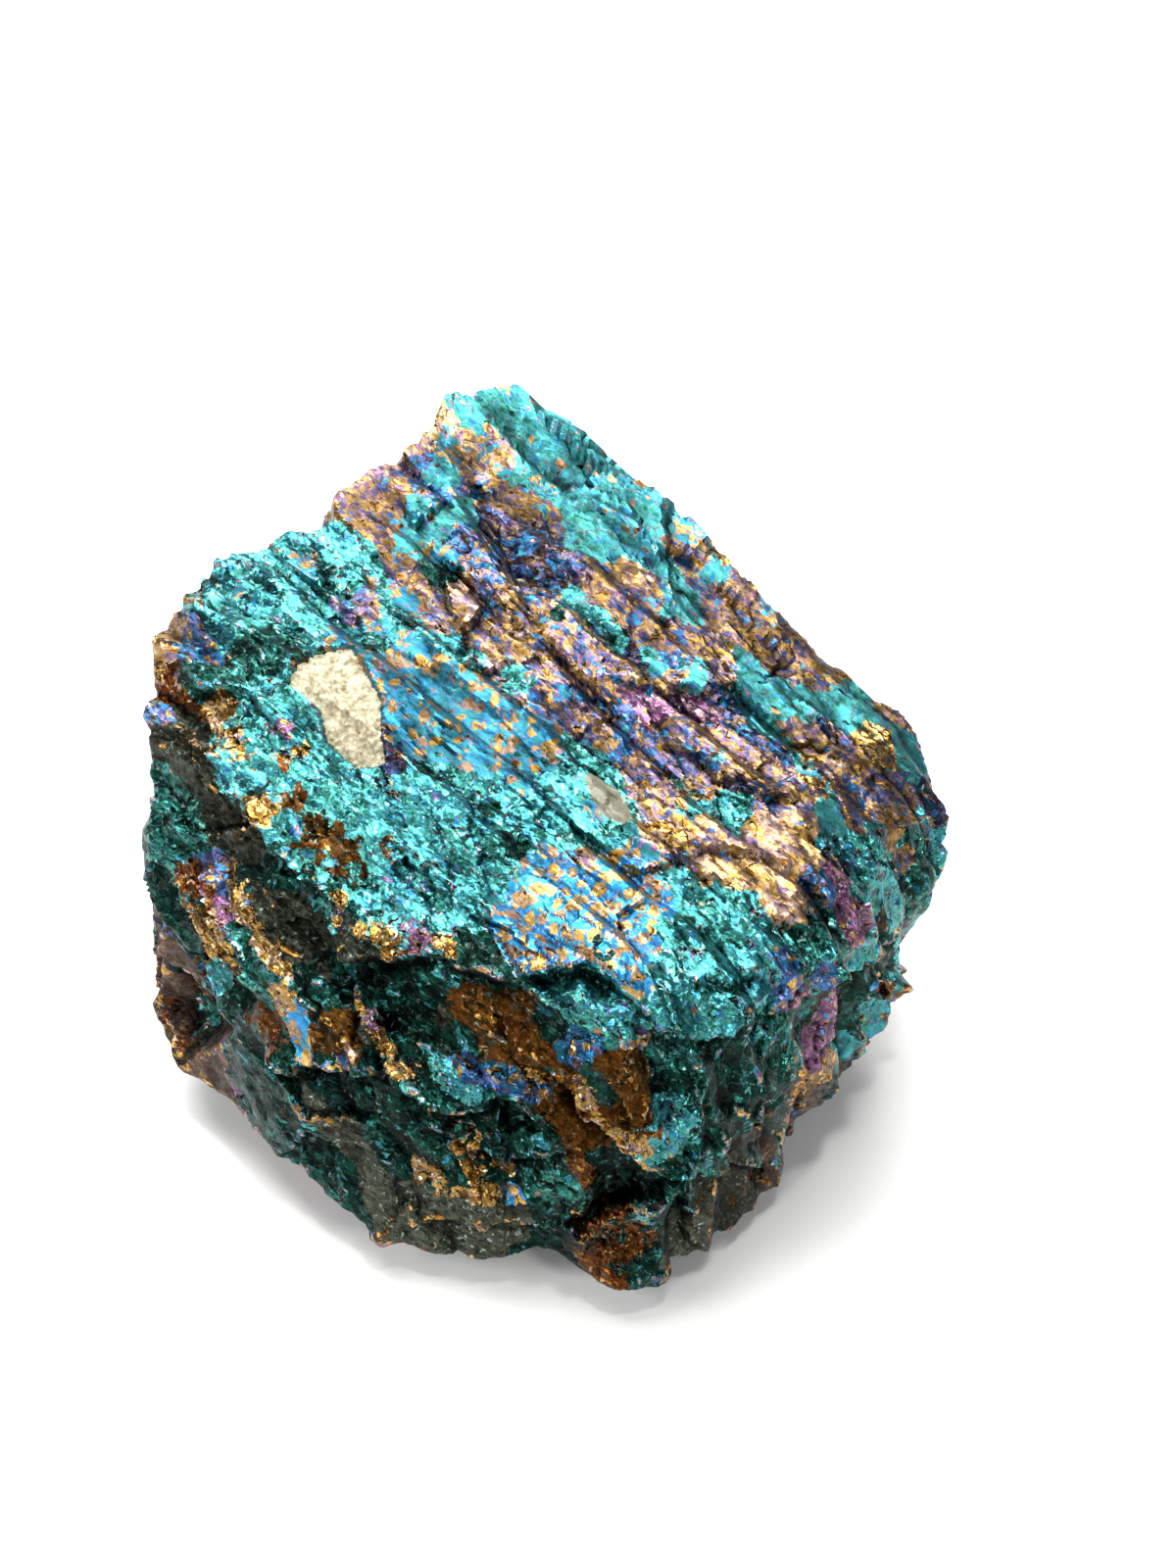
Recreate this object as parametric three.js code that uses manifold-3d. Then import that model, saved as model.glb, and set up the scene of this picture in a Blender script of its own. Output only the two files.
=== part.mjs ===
// A lump of peacock ore: a broken piece of copper ore with a broad upper face, a ridged
// front that steps down in ledges, and a small quartz pocket sunk into the upper face.
// Millimetres, +Z up. The origin lies under the middle of the lump, on its flat rest spot.

import * as THREE from 'three';
import { ConvexHull } from 'three/addons/math/ConvexHull.js';
import { mergeVertices } from 'three/addons/utils/BufferGeometryUtils.js';
import Module from 'manifold-3d';

// The ore is layered. The layers stand upright, turned by layerTurn from the front, and
// their streaks dip towards the front right.
const layerTurn = THREE.MathUtils.degToRad(45);
const streakDip = THREE.MathUtils.degToRad(9);

// Block that just holds the lump, turned with the layers, and the spacing of its points.
const block = { along: 41, through: 39, height: 30 };
const blockMiddle = new THREE.Vector3(-1.8, 3.2, -4.5);
const spacing = { along: 1.5, through: 1.15, up: 1.4 };

// The heart is the point inside the lump from which every corner is in sight.
const heart = new THREE.Vector3(0, 4, -4.5);

// The rest spot is cut flat at this height, and the middle is what comes over the origin.
const restHeight = -20;
const middle = { x: -0.279, y: 4.924 };

// Corners of the lump, where its broken faces meet. x runs across, y to the back, z up.
const corners = {
  backRim: [
    [-6.5, 28.5, 10], [-2, 29, 10.5], [-0.5, 28, 10], [2.5, 25.5, 9.5], [6.5, 22, 8],
    [7, 21, 7], [11, 17.5, 6], [17.5, 11.5, 3], [21.5, 8.5, 1.5], [22.5, 7, 0.5],
    [24, 4, -1.5], [23, 0.5, -4], [20.5, -1.5, -5],
  ],
  frontRim: [
    [20, 0.5, -10.5], [22, 0, -13], [19, -3.5, -14.5], [17, -7.5, -13.5], [14.5, -8.5, -15],
    [14, -11.5, -18], [9.5, -15.5, -18], [5, -19.5, -17.5], [0.5, -17.5, -17],
    [-4, -16.5, -17.5], [-9.5, -15.5, -17.5], [-16, -10, -15.5], [-22.5, -3.5, -16],
    [-24.5, 0, -15], [-23.5, 3.5, -12.5],
  ],
  leftRim: [
    [-23.5, 1.5, -5.5], [-23.5, 4, -2], [-24, 6.5, 2], [-23.5, 9.5, 4], [-23, 13, 4.5],
    [-21, 15.5, 5.5], [-20, 17.5, 6], [-17, 18, 6.5], [-13, 19.5, 7.5], [-13, 22, 8],
    [-10, 24, 8.5], [-8, 26, 9],
  ],
  broadFace: [
    [-15, 8, 6.5], [-10, 15, 6.5], [-6, 21.5, 8.5], [-2.5, 18, 6], [2.5, 23, 8.5],
    [7.5, 13.5, 6], [0, 9, 5.5], [4.5, 5.5, 4], [10.5, 6.5, 4.5], [15.5, 1.5, 3],
    [19.5, 0, 0.5], [8, -3, 2.5], [13.5, -6.5, 0.5], [0, -2.5, 3], [-6, 1.5, 4.5],
    [-11.5, -2, 3], [-17.5, 4, 4], [-4, -7, 2], [3.5, -9.5, 1.5],
  ],
  frontRidge: [
    [-18.5, 1.5, 2.5], [-15, -2.5, 1], [-10.5, -7, 0], [-7, -8.5, 1], [-3, -11, 0.5],
    [0.5, -12.5, 0], [4.5, -13.5, 0], [7.5, -12, 0.5], [11, -12.5, -1], [13.5, -10, -1],
    [17, -6.5, -2],
  ],
  ledge: [
    [-23, 2.5, -2.5], [-19.5, 0, -2], [-17.5, -3.5, -3.5], [-16, -6, -4.5],
    [-14.5, -8.5, -6], [-11.5, -11, -6.5], [-7, -12.5, -6.5], [-3, -13, -4.5],
    [0, -14, -4.5], [3.5, -16.5, -7], [6.5, -17, -8.5], [8, -17, -9.5], [11.5, -14, -7],
    [15.5, -9.5, -8.5],
  ],
  hollowUnderRidge: [[-13, -5.5, -2.5], [-6.5, -10, -3]],
  lowerTier: [
    [-18.5, -7, -9.5], [-14.5, -11, -11], [-9.5, -14, -12], [-5, -15.5, -12],
    [-2, -16.5, -13.5], [1, -17, -14.5], [4, -16.5, -13.5], [5.5, -18, -14.5],
    [8, -16, -14],
  ],
  underRim: [
    [20.5, 1.5, -15.5], [17, -2.5, -16.5], [14, -6.5, -17.5], [11.5, -11, -19.5],
    [8.5, -13.5, -19.5], [4.5, -16.5, -19.5], [0, -15, -19], [-4.5, -14, -19.5],
    [-9, -13, -19], [-14.5, -8.5, -18], [-20.5, -2, -18], [-22.5, 1, -17.5], [-21.5, 4, -16],
  ],
  rightEnd: [[16, -7, -8], [13.5, -11, -5], [9.5, -15, -10.5], [19.5, -2.5, -8.5]],
  backLedge: [
    [-22.5, 14, 0], [-18.5, 18.5, 1.5], [-14.5, 22, 2.5], [-10.5, 25.5, 3], [-6, 29, 4],
    [-1, 28.5, 5], [3.5, 27.5, 4.5], [9, 22, 2], [13, 17.5, -0.5], [18.5, 14, -2.5],
    [22.5, 9, -4],
  ],
  hollowUnderBackLedge: [
    [-21, 11, -3], [-15.5, 17, -3], [-9, 22.5, -3], [-2, 26.5, -1], [4.5, 25, -1.5],
    [10, 20, -4], [16.5, 14.5, -6],
  ],
  backTier: [
    [-23, 8, -8], [-18, 13.5, -9], [-13, 17.5, -8.5], [-8, 22, -8.5], [-3, 25, -7],
    [2, 25, -8], [7, 23.5, -6.5], [12, 20.5, -8.5], [17.5, 15, -9.5], [22, 8, -9],
    [20.5, 3, -13],
  ],
  lowerBack: [
    [-21, 3, -14.5], [-16.5, 9, -15], [-11, 14, -15.5], [-6, 18, -15], [-1, 21, -13],
    [5, 19.5, -14.5], [10, 16, -14.5], [15, 10, -15.5], [17, 3, -17], [-19, -2, -13],
  ],
  underside: [
    [4, -5, -20.5], [8, 2, -20.5], [4, 10, -20.5], [-4, 10, -20.5], [-8, 3, -20.5],
    [-4, -4, -20.5], [11, 9, -18.5], [-13, 7, -17.5], [-13, -4, -17.5], [0, 16, -17.5],
    [5, -13, -18.5], [12, -4, -18.5], [-7, -10, -18.5],
  ],
};

// Crest lines. The surface rises to each line and drops away on its right-hand side, for
// someone who walks along it on the outside. Height is how far the line stands out.
const crests = {
  leftRidge: {
    height: 1.2,
    line: [[-16.5, -0.5, 1.5], [-14.5, -3, 1], [-12.5, -5, 0.5], [-12, -6, -1], [-11, -8, -1.5]],
  },
  frontRidge: {
    height: 1.2,
    line: [[-11, -8, -1.5], [-8.5, -8.5, -1], [-6, -9.5, 0], [-3.5, -10.5, 0.5], [-2, -11, 0.5],
      [0, -11, 1], [2.5, -10.5, 1], [4, -11.5, 0.5]],
  },
  goldLedge: {
    height: 1.2,
    line: [[-19.5, -1, -3], [-19, -2, -4], [-18, -3.5, -4], [-17, -5, -4.5], [-17, -6, -6]],
  },
  leftStreak: {
    height: 0.8,
    line: [[-21, -0.5, -4.5], [-20.5, -2, -5], [-19, -3.5, -5.5], [-17.5, -5, -6]],
  },
  blueLedge: {
    height: 1.5,
    line: [[-15.5, -9, -8.5], [-14.5, -10, -9], [-13, -10.5, -8], [-10.5, -11.5, -7]],
  },
  oliveRidge: {
    height: 1.2,
    line: [[-11, -9.5, -3.5], [-10.5, -10, -5], [-9, -11.5, -6], [-7.5, -12.5, -7],
      [-6.5, -13, -7.5]],
  },
  midRidge: {
    height: 1.2,
    line: [[-6.5, -13, -7.5], [-5, -13.5, -8], [-3.5, -14, -7], [-2.5, -13.5, -6],
      [-1, -14.5, -6.5], [0, -15, -7.5]],
  },
  amberRidge: {
    height: 1.2,
    line: [[0, -14, -4], [2, -15, -5], [3, -16, -6], [4, -16.5, -7], [5.5, -17, -8.5],
      [7.5, -17, -9]],
  },
  lowRidge: {
    height: 1,
    line: [[-5.5, -14.5, -9.5], [-3.5, -15, -9.5], [-2, -15.5, -10], [0, -15.5, -9]],
  },
  greyTier: {
    height: 0.8,
    line: [[-7, -15.5, -15.5], [-5, -16, -14.5], [-1.5, -16.5, -14], [1, -17, -14]],
  },
  cornerLump: {
    height: 1.3,
    line: [[7.5, -17, -11], [6, -17.5, -11.5], [4.5, -16.5, -13], [2, -17, -14]],
  },
  lensRim: {
    height: 0.6,
    line: [[6, -13, -0.5], [7, -13, -1.5], [9.5, -13, -2], [11.5, -12, -1.5]],
  },
  lensGroove: {
    height: 0.5,
    line: [[6.5, -12, 0.5], [7.5, -11.5, 0.5], [9, -11, 0], [11, -10.5, -0.5]],
  },
  rightRidge: {
    height: 1,
    line: [[12, -12, -2.5], [13, -11, -2.5], [14.5, -9.5, -3], [16.5, -7, -4], [19.5, -3, -5]],
  },
  sideLobe: {
    height: 1.3,
    line: [[18, -5, -12.5], [17.5, -5, -9], [18, -4.5, -7.5], [20.5, -0.5, -10.5]],
  },
  tealSlab: { height: 0.4, line: [[7.5, -17, -9], [8.5, -16, -8], [8, -15, -5.5]] },
  rightTier: { height: 1.2, line: [[8.5, -16.5, -10], [10.5, -14, -12], [13, -11, -14.5]] },
  topLobe: { height: 0.6, line: [[1.5, 22, 8], [5, 18.5, 7.5], [8.5, 15, 6], [11.5, 12, 5]] },
  darkLedge: { height: 0.5, line: [[5.5, 8, 4.5], [8.5, 7.5, 4.5], [10, 7.5, 4.5]] },
  pits: { height: 0.6, line: [[7.5, 4.5, 4], [9.5, 2.5, 3.5], [11.5, 1, 3], [13, 0.5, 3]] },
  goldSlab: {
    height: 0.5,
    line: [[6.5, -1.5, 3], [8, -3, 2.5], [11.5, -3.5, 2], [14, -3.5, 1.5], [15, -4.5, 0.5]],
  },
  pinkSlab: { height: 0.5, line: [[10, -5, 1.5], [12, -6.5, 0.5], [14, -7, 0]] },
  upperLeft: { height: 0.6, line: [[-20.5, 8, 4.5], [-17.5, 7, 5.5], [-16.5, 6, 5]] },
  spottedEdge: { height: 0.4, line: [[-7, 10, 6], [-5, 7.5, 5.5], [-3, 6, 5]] },
  streakEdge: { height: 0.5, line: [[-6.5, 17, 7.5], [-2.5, 13, 6.5], [2, 9, 5.5], [4.5, 6, 4]] },
};

// A crest's cross section: how far the rise, the drop and the way out of the hollow reach,
// how deep the hollow is for a height of 1, and how far the crest runs on past its ends.
const crestForm = { rise: 1.8, drop: 1.4, hollow: 0.7, wayOut: 1.6, end: 1.2, share: 0.8 };
const crestWaver = { size: 2, reach: 0.6, seeds: [51, 52, 53] };

// Relief on the broken faces. Each height is how far a form stands out of the face, and
// each waver is how far noise of the size beside it bends the form.
const ledges = { pitch: 3.4, height: 0.95, slopeShare: 0.6, waver: 0.9, waverSize: 9, seed: 3 };
const ledgeRuns = { along: 14, up: 9, through: 6, seed: 5 };
const chips = { along: 9, up: 5, through: 3.2, height: 0.45, waver: 0.8, waverSize: 3, seed: 10 };
const chipWaverSeed = 4;
const lumps = { size: 6, height: 0.5, seed: 30 };
const edgeWander = { size: 5, reach: 0.45, seeds: [41, 42, 43] };

// The quartz pocket: its outline seen from above, and how deep its floor is sunk.
const pocketOutline = [
  [-15.2, 7], [-13.7, 9.4], [-11.6, 9.7], [-9.7, 6], [-9.6, 3.5], [-9.3, 2], [-11, 2.1],
  [-12.8, 3.7], [-13.2, 5.4],
];
const pocket = { depth: 0.7, wall: 0.5 };

// A repeatable scatter: each cell of a grid gives the same number from 0 to 1 every time.
const stir = { i: 127.1, j: 311.7, k: 74.7, seed: 19.19, gain: 43758.5453 };

function scatter(i, j, k, seed) {
  const turned = Math.sin(i * stir.i + j * stir.j + k * stir.k + seed * stir.seed) * stir.gain;
  return turned - Math.floor(turned);
}

// Soft lumps from -1 to 1: the scatter of the eight nearest cells, blended smoothly.
function softNoise(x, y, z, seed) {
  const ease = (t) => t * t * (3 - 2 * t);
  const [i, j, k] = [Math.floor(x), Math.floor(y), Math.floor(z)];
  const [u, v, w] = [ease(x - i), ease(y - j), ease(z - k)];
  let sum = 0;
  for (const a of [0, 1]) {
    for (const b of [0, 1]) {
      for (const c of [0, 1]) {
        const share = (a ? u : 1 - u) * (b ? v : 1 - v) * (c ? w : 1 - w);
        sum += share * scatter(i + a, j + b, k + c, seed);
      }
    }
  }
  return sum * 2 - 1;
}

// Noise at a point for lumps of the given size, the same in all directions.
function noiseAt(point, size, seed) {
  return softNoise(point.x / size, point.y / size, point.z / size, seed);
}

// Directions in the ore: along a streak, up the layer, and through the layers.
function layerDirections() {
  const through = new THREE.Vector3(Math.cos(layerTurn), Math.sin(layerTurn), 0);
  const along = new THREE.Vector3(
    Math.sin(layerTurn) * Math.cos(streakDip),
    -Math.cos(layerTurn) * Math.cos(streakDip),
    -Math.sin(streakDip),
  );
  const up = new THREE.Vector3().crossVectors(along, through);
  return { along, up, through };
}

const layers = layerDirections();

function inLayers(point) {
  return new THREE.Vector3(
    point.dot(layers.along),
    point.dot(layers.up),
    point.dot(layers.through),
  );
}

// A ledge rises slowly over slopeShare of the pitch and drops over the rest, from -0.5 to 0.5.
function ledgeProfile(x) {
  const share = x - Math.floor(x);
  const slope = ledges.slopeShare;
  return (share < slope ? share / slope : (1 - share) / (1 - slope)) - 0.5;
}

// Each ledge runs along the layers, and is strong in some places and almost gone in others.
function ledgeHeight(point) {
  const place = inLayers(point);
  const depth = place.z + ledges.waver * noiseAt(point, ledges.waverSize, ledges.seed);
  const { along, up, through, seed } = ledgeRuns;
  const strength = 0.55 + 0.45 * softNoise(place.x / along, place.y / up, place.z / through, seed);
  return ledges.height * strength * ledgeProfile(depth / ledges.pitch);
}

// Chips: every cell holds one chip with its own tilt, and each point lies on the nearest.
function chipHeight(point) {
  const waver = chips.waver * noiseAt(point, chips.waverSize, chipWaverSeed);
  const size = new THREE.Vector3(chips.along, chips.up, chips.through);
  const place = inLayers(point).addScalar(waver).divide(size);
  const cell = place.clone().floor();
  let nearest = Infinity;
  let height = 0;
  for (const a of [-1, 0, 1]) {
    for (const b of [-1, 0, 1]) {
      for (const c of [-1, 0, 1]) {
        const corner = new THREE.Vector3(cell.x + a, cell.y + b, cell.z + c);
        const random = (n) => scatter(...corner, chips.seed + n);
        const centre = new THREE.Vector3(random(1), random(2), random(3)).add(corner);
        const away = place.clone().sub(centre);
        if (away.lengthSq() < nearest) {
          nearest = away.lengthSq();
          const tilt = new THREE.Vector3(random(4), random(5), random(6)).multiplyScalar(2);
          height = away.dot(tilt.subScalar(1)) + random(7) - 0.5;
        }
      }
    }
  }
  return chips.height * THREE.MathUtils.clamp(height, -1, 1);
}

// How far a point seen from above lies inside the pocket's outline, negative outside it.
function insidePocket(x, y) {
  let nearest = Infinity;
  let inside = false;
  pocketOutline.forEach(([ax, ay], n) => {
    const [bx, by] = pocketOutline[(n + 1) % pocketOutline.length];
    const side = new THREE.Line3(new THREE.Vector3(ax, ay, 0), new THREE.Vector3(bx, by, 0));
    const point = new THREE.Vector3(x, y, 0);
    const foot = side.closestPointToPoint(point, true, new THREE.Vector3());
    nearest = Math.min(nearest, foot.distanceTo(point));
    if ((ay > y) !== (by > y) && x < ((bx - ax) * (y - ay)) / (by - ay) + ax) {
      inside = !inside;
    }
  });
  return inside ? nearest : -nearest;
}

function pocketDepth(point) {
  const onTop = point.z > 0;
  const reach = THREE.MathUtils.smoothstep(insidePocket(point.x, point.y), -pocket.wall, pocket.wall);
  return onTop ? pocket.depth * reach : 0;
}

// How high a crest's cross section stands at a distance to its right, for a height of 1.
function crestProfile(aside) {
  const { rise, drop, hollow, wayOut } = crestForm;
  if (aside < 0) {
    return Math.exp(aside / rise);
  }
  return aside < drop
    ? 1 - ((1 + hollow) * aside) / drop
    : -hollow * Math.exp((drop - aside) / wayOut);
}

// The nearest stretch of the line gives how far the point lies to its right and past its end.
function crestHeight(point, lean, { height, line }) {
  const stops = line.map((xyz) => new THREE.Vector3(...xyz));
  let nearest = Infinity;
  let aside = 0;
  stops.slice(1).forEach((stop, n) => {
    const foot = new THREE.Line3(stops[n], stop).closestPointToPoint(point, true, new THREE.Vector3());
    const away = point.clone().sub(foot);
    if (away.length() < nearest) {
      nearest = away.length();
      aside = away.dot(stop.clone().sub(stops[n]).cross(lean).normalize());
    }
  });
  const past = Math.sqrt(Math.max(nearest ** 2 - aside ** 2, 0));
  const fade = Math.exp(-((past / crestForm.end) ** 2));
  return height * crestForm.share * fade * crestProfile(aside);
}

function crestsHeight(point, lean) {
  const shifts = crestWaver.seeds.map((seed) => noiseAt(point, crestWaver.size, seed));
  const place = point.clone().addScaledVector(new THREE.Vector3(...shifts), crestWaver.reach);
  const heights = Object.values(crests).map((crest) => crestHeight(place, lean, crest));
  return heights.reduce((sum, height) => sum + height, 0);
}

function relief(point, lean) {
  const lump = lumps.height * noiseAt(point, lumps.size, lumps.seed);
  const rough = ledgeHeight(point) + chipHeight(point) + lump;
  return rough + crestsHeight(point, lean) - pocketDepth(point);
}

// The broken faces: triangles that join neighbouring corners, as seen from the heart. Each
// corner leans out along the mean of the faces that meet in it.
function brokenFaces() {
  const reaches = Object.values(corners).flat().map((xyz) => new THREE.Vector3(...xyz).sub(heart));
  const sights = reaches.map((reach) => reach.clone().normalize());
  const leans = reaches.map(() => new THREE.Vector3());
  const faces = new ConvexHull().setFromPoints(sights).faces.map((face) => {
    const ends = [face.edge, face.edge.next, face.edge.next.next];
    const at = ends.map((edge) => sights.indexOf(edge.head().point));
    const [a, b, c] = at.map((n) => reaches[n]);
    const normal = b.clone().sub(a).cross(c.clone().sub(a));
    at.forEach((n) => leans[n].add(normal));
    const toShares = new THREE.Matrix3().set(a.x, b.x, c.x, a.y, b.y, c.y, a.z, b.z, c.z).invert();
    return { at, toShares };
  });
  leans.forEach((lean) => lean.normalize());
  return { reaches, leans, faces };
}

const broken = brokenFaces();

// The point of the broken faces in one direction from the heart, pushed out by the relief.
function surfacePoint(direction) {
  const tolerance = 1e-9;
  for (const { at, toShares } of broken.faces) {
    const shares = direction.clone().applyMatrix3(toShares);
    if (Math.min(...shares) < -tolerance) {
      continue;
    }
    shares.divideScalar(shares.x + shares.y + shares.z);
    const point = heart.clone();
    const lean = new THREE.Vector3();
    [...shares].forEach((share, n) => {
      point.addScaledVector(broken.reaches[at[n]], share);
      lean.addScaledVector(broken.leans[at[n]], share);
    });
    lean.normalize();
    return point.addScaledVector(lean, relief(point, lean));
  }
  throw new Error('a direction meets no face');
}

// Edges wander a little: the direction is shifted by noise before it meets the faces.
function wander(start) {
  const shifts = edgeWander.seeds.map((seed) => noiseAt(start, edgeWander.size, seed));
  return start.clone().addScaledVector(new THREE.Vector3(...shifts), edgeWander.reach);
}

// Points spread evenly over the block, each moved along its sight line onto the lump.
function roughLump() {
  const { along, through, height } = block;
  const counts = [along / spacing.along, through / spacing.through, height / spacing.up];
  const box = new THREE.BoxGeometry(along, through, height, ...counts.map(Math.round));
  box.rotateZ(-layerTurn);
  box.translate(...blockMiddle.clone().sub(heart));
  box.deleteAttribute('normal');
  box.deleteAttribute('uv');
  const lump = mergeVertices(box);
  const positions = lump.getAttribute('position');
  const start = new THREE.Vector3();
  for (let n = 0; n < positions.count; n += 1) {
    start.fromBufferAttribute(positions, n);
    positions.setXYZ(n, ...surfacePoint(wander(start)));
  }
  return lump;
}

// The library's boolean solid for a closed mesh, and a mesh made from it again.
const solids = await Module();
solids.setup();

function toSolid(geometry) {
  const mesh = new solids.Mesh({
    numProp: 3,
    vertProperties: new Float32Array(geometry.getAttribute('position').array),
    triVerts: new Uint32Array(geometry.getIndex().array),
  });
  return new solids.Manifold(mesh);
}

function toGeometry(solid) {
  const { vertProperties, triVerts } = solid.getMesh();
  const geometry = new THREE.BufferGeometry();
  geometry.setAttribute('position', new THREE.BufferAttribute(vertProperties, 3));
  geometry.setIndex(new THREE.BufferAttribute(triVerts, 1));
  return geometry;
}

// The flat spot that the lump rests on: everything below the rest height is cut away.
function cutRestSpot(lump) {
  const { along, through, height } = block;
  const below = new THREE.BoxGeometry(along * 2, through * 2, height);
  below.deleteAttribute('normal');
  below.deleteAttribute('uv');
  below.translate(0, 0, restHeight - height / 2);
  return toGeometry(toSolid(lump).subtract(toSolid(mergeVertices(below))));
}

function peacockOre() {
  const geometry = cutRestSpot(roughLump());
  geometry.translate(-middle.x, -middle.y, -restHeight);
  geometry.computeVertexNormals();
  const film = new THREE.MeshStandardMaterial({ color: 0x2a8f8c, roughness: 0.4, metalness: 0.85 });
  const lump = new THREE.Mesh(geometry, film);
  lump.name = 'peacock_ore';
  return lump;
}

const group = new THREE.Group();
group.add(peacockOre());

export default group;
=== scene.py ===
import bmesh
import bpy
import numpy as np
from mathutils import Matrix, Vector


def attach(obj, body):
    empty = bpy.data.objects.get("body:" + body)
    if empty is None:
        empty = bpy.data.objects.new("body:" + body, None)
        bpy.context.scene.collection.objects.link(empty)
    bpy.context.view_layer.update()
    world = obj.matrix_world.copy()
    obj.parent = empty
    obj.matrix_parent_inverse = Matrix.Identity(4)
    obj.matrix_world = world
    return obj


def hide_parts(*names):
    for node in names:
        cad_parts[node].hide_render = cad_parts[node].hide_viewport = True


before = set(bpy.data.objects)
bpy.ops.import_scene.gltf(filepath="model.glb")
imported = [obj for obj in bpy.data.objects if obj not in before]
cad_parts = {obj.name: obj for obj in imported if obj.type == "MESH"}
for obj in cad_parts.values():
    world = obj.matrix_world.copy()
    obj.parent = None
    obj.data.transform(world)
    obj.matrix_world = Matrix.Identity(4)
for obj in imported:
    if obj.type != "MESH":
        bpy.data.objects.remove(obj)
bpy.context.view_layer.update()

mm = 0.001
print("peacock ore: frame loaded")


# the lump's form, from the same sizes as the solid that it stands for
# x runs across, y to the back and z up, in millimetres from the lump's own middle mark
lump = dict(
    heart=(0, 4, -4.5),            # inside point from which every corner is in sight
    block=(41, 39, 30),            # along the layers, through them, and up
    blockMiddle=(-1.8, 3.2, -4.5),
    spacing=(0.33, 0.25, 0.30),    # between the points of the surface, in the block's order
    layerTurn=45,                  # degrees; the layers stand upright, turned from the front
    streakDip=9,                   # degrees; their streaks dip to the front right
    restHeight=-20,
    middle=(-0.279, 4.924),        # comes over the origin
    edgeWander=(5, 0.45, (41, 42, 43)),
    ledges=dict(pitch=3.4, height=0.95, slopeShare=0.75, waver=0.9, waverSize=9,
                fineWaver=0.3, fineWaverSize=3, even=0.55, changeSize=(14, 9, 6)),
    chips=dict(size=(9, 5, 3.2), height=0.45, waver=0.8, waverSize=3),
    lumps=dict(size=6, height=0.5),
    smallLedges=dict(pitch=1.3, height=0.18, slopeShare=0.62, waver=0.3, waverSize=2,
                     even=0.5, changeSize=(7, 5, 3)),
    smallChips=dict(size=(3.6, 1.8, 1.1), height=0.18, waver=0.4, waverSize=1.5),
    smallLumps=dict(size=1.3, height=0.12),
    crests=dict(rise=1.8, drop=0.45, hollow=0.7, wayOut=1.6, end=1.2, share=0.8, reach=7,
                waver=0.6, waverSize=2, fineWaver=0.25, fineWaverSize=0.7),
    pocket=dict(depth=0.9, wall=0.15),
    sharpAngle=32,                 # degrees between faces past which an edge stays crisp
    hollowRounds=3, valleyRounds=40,
)

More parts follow.
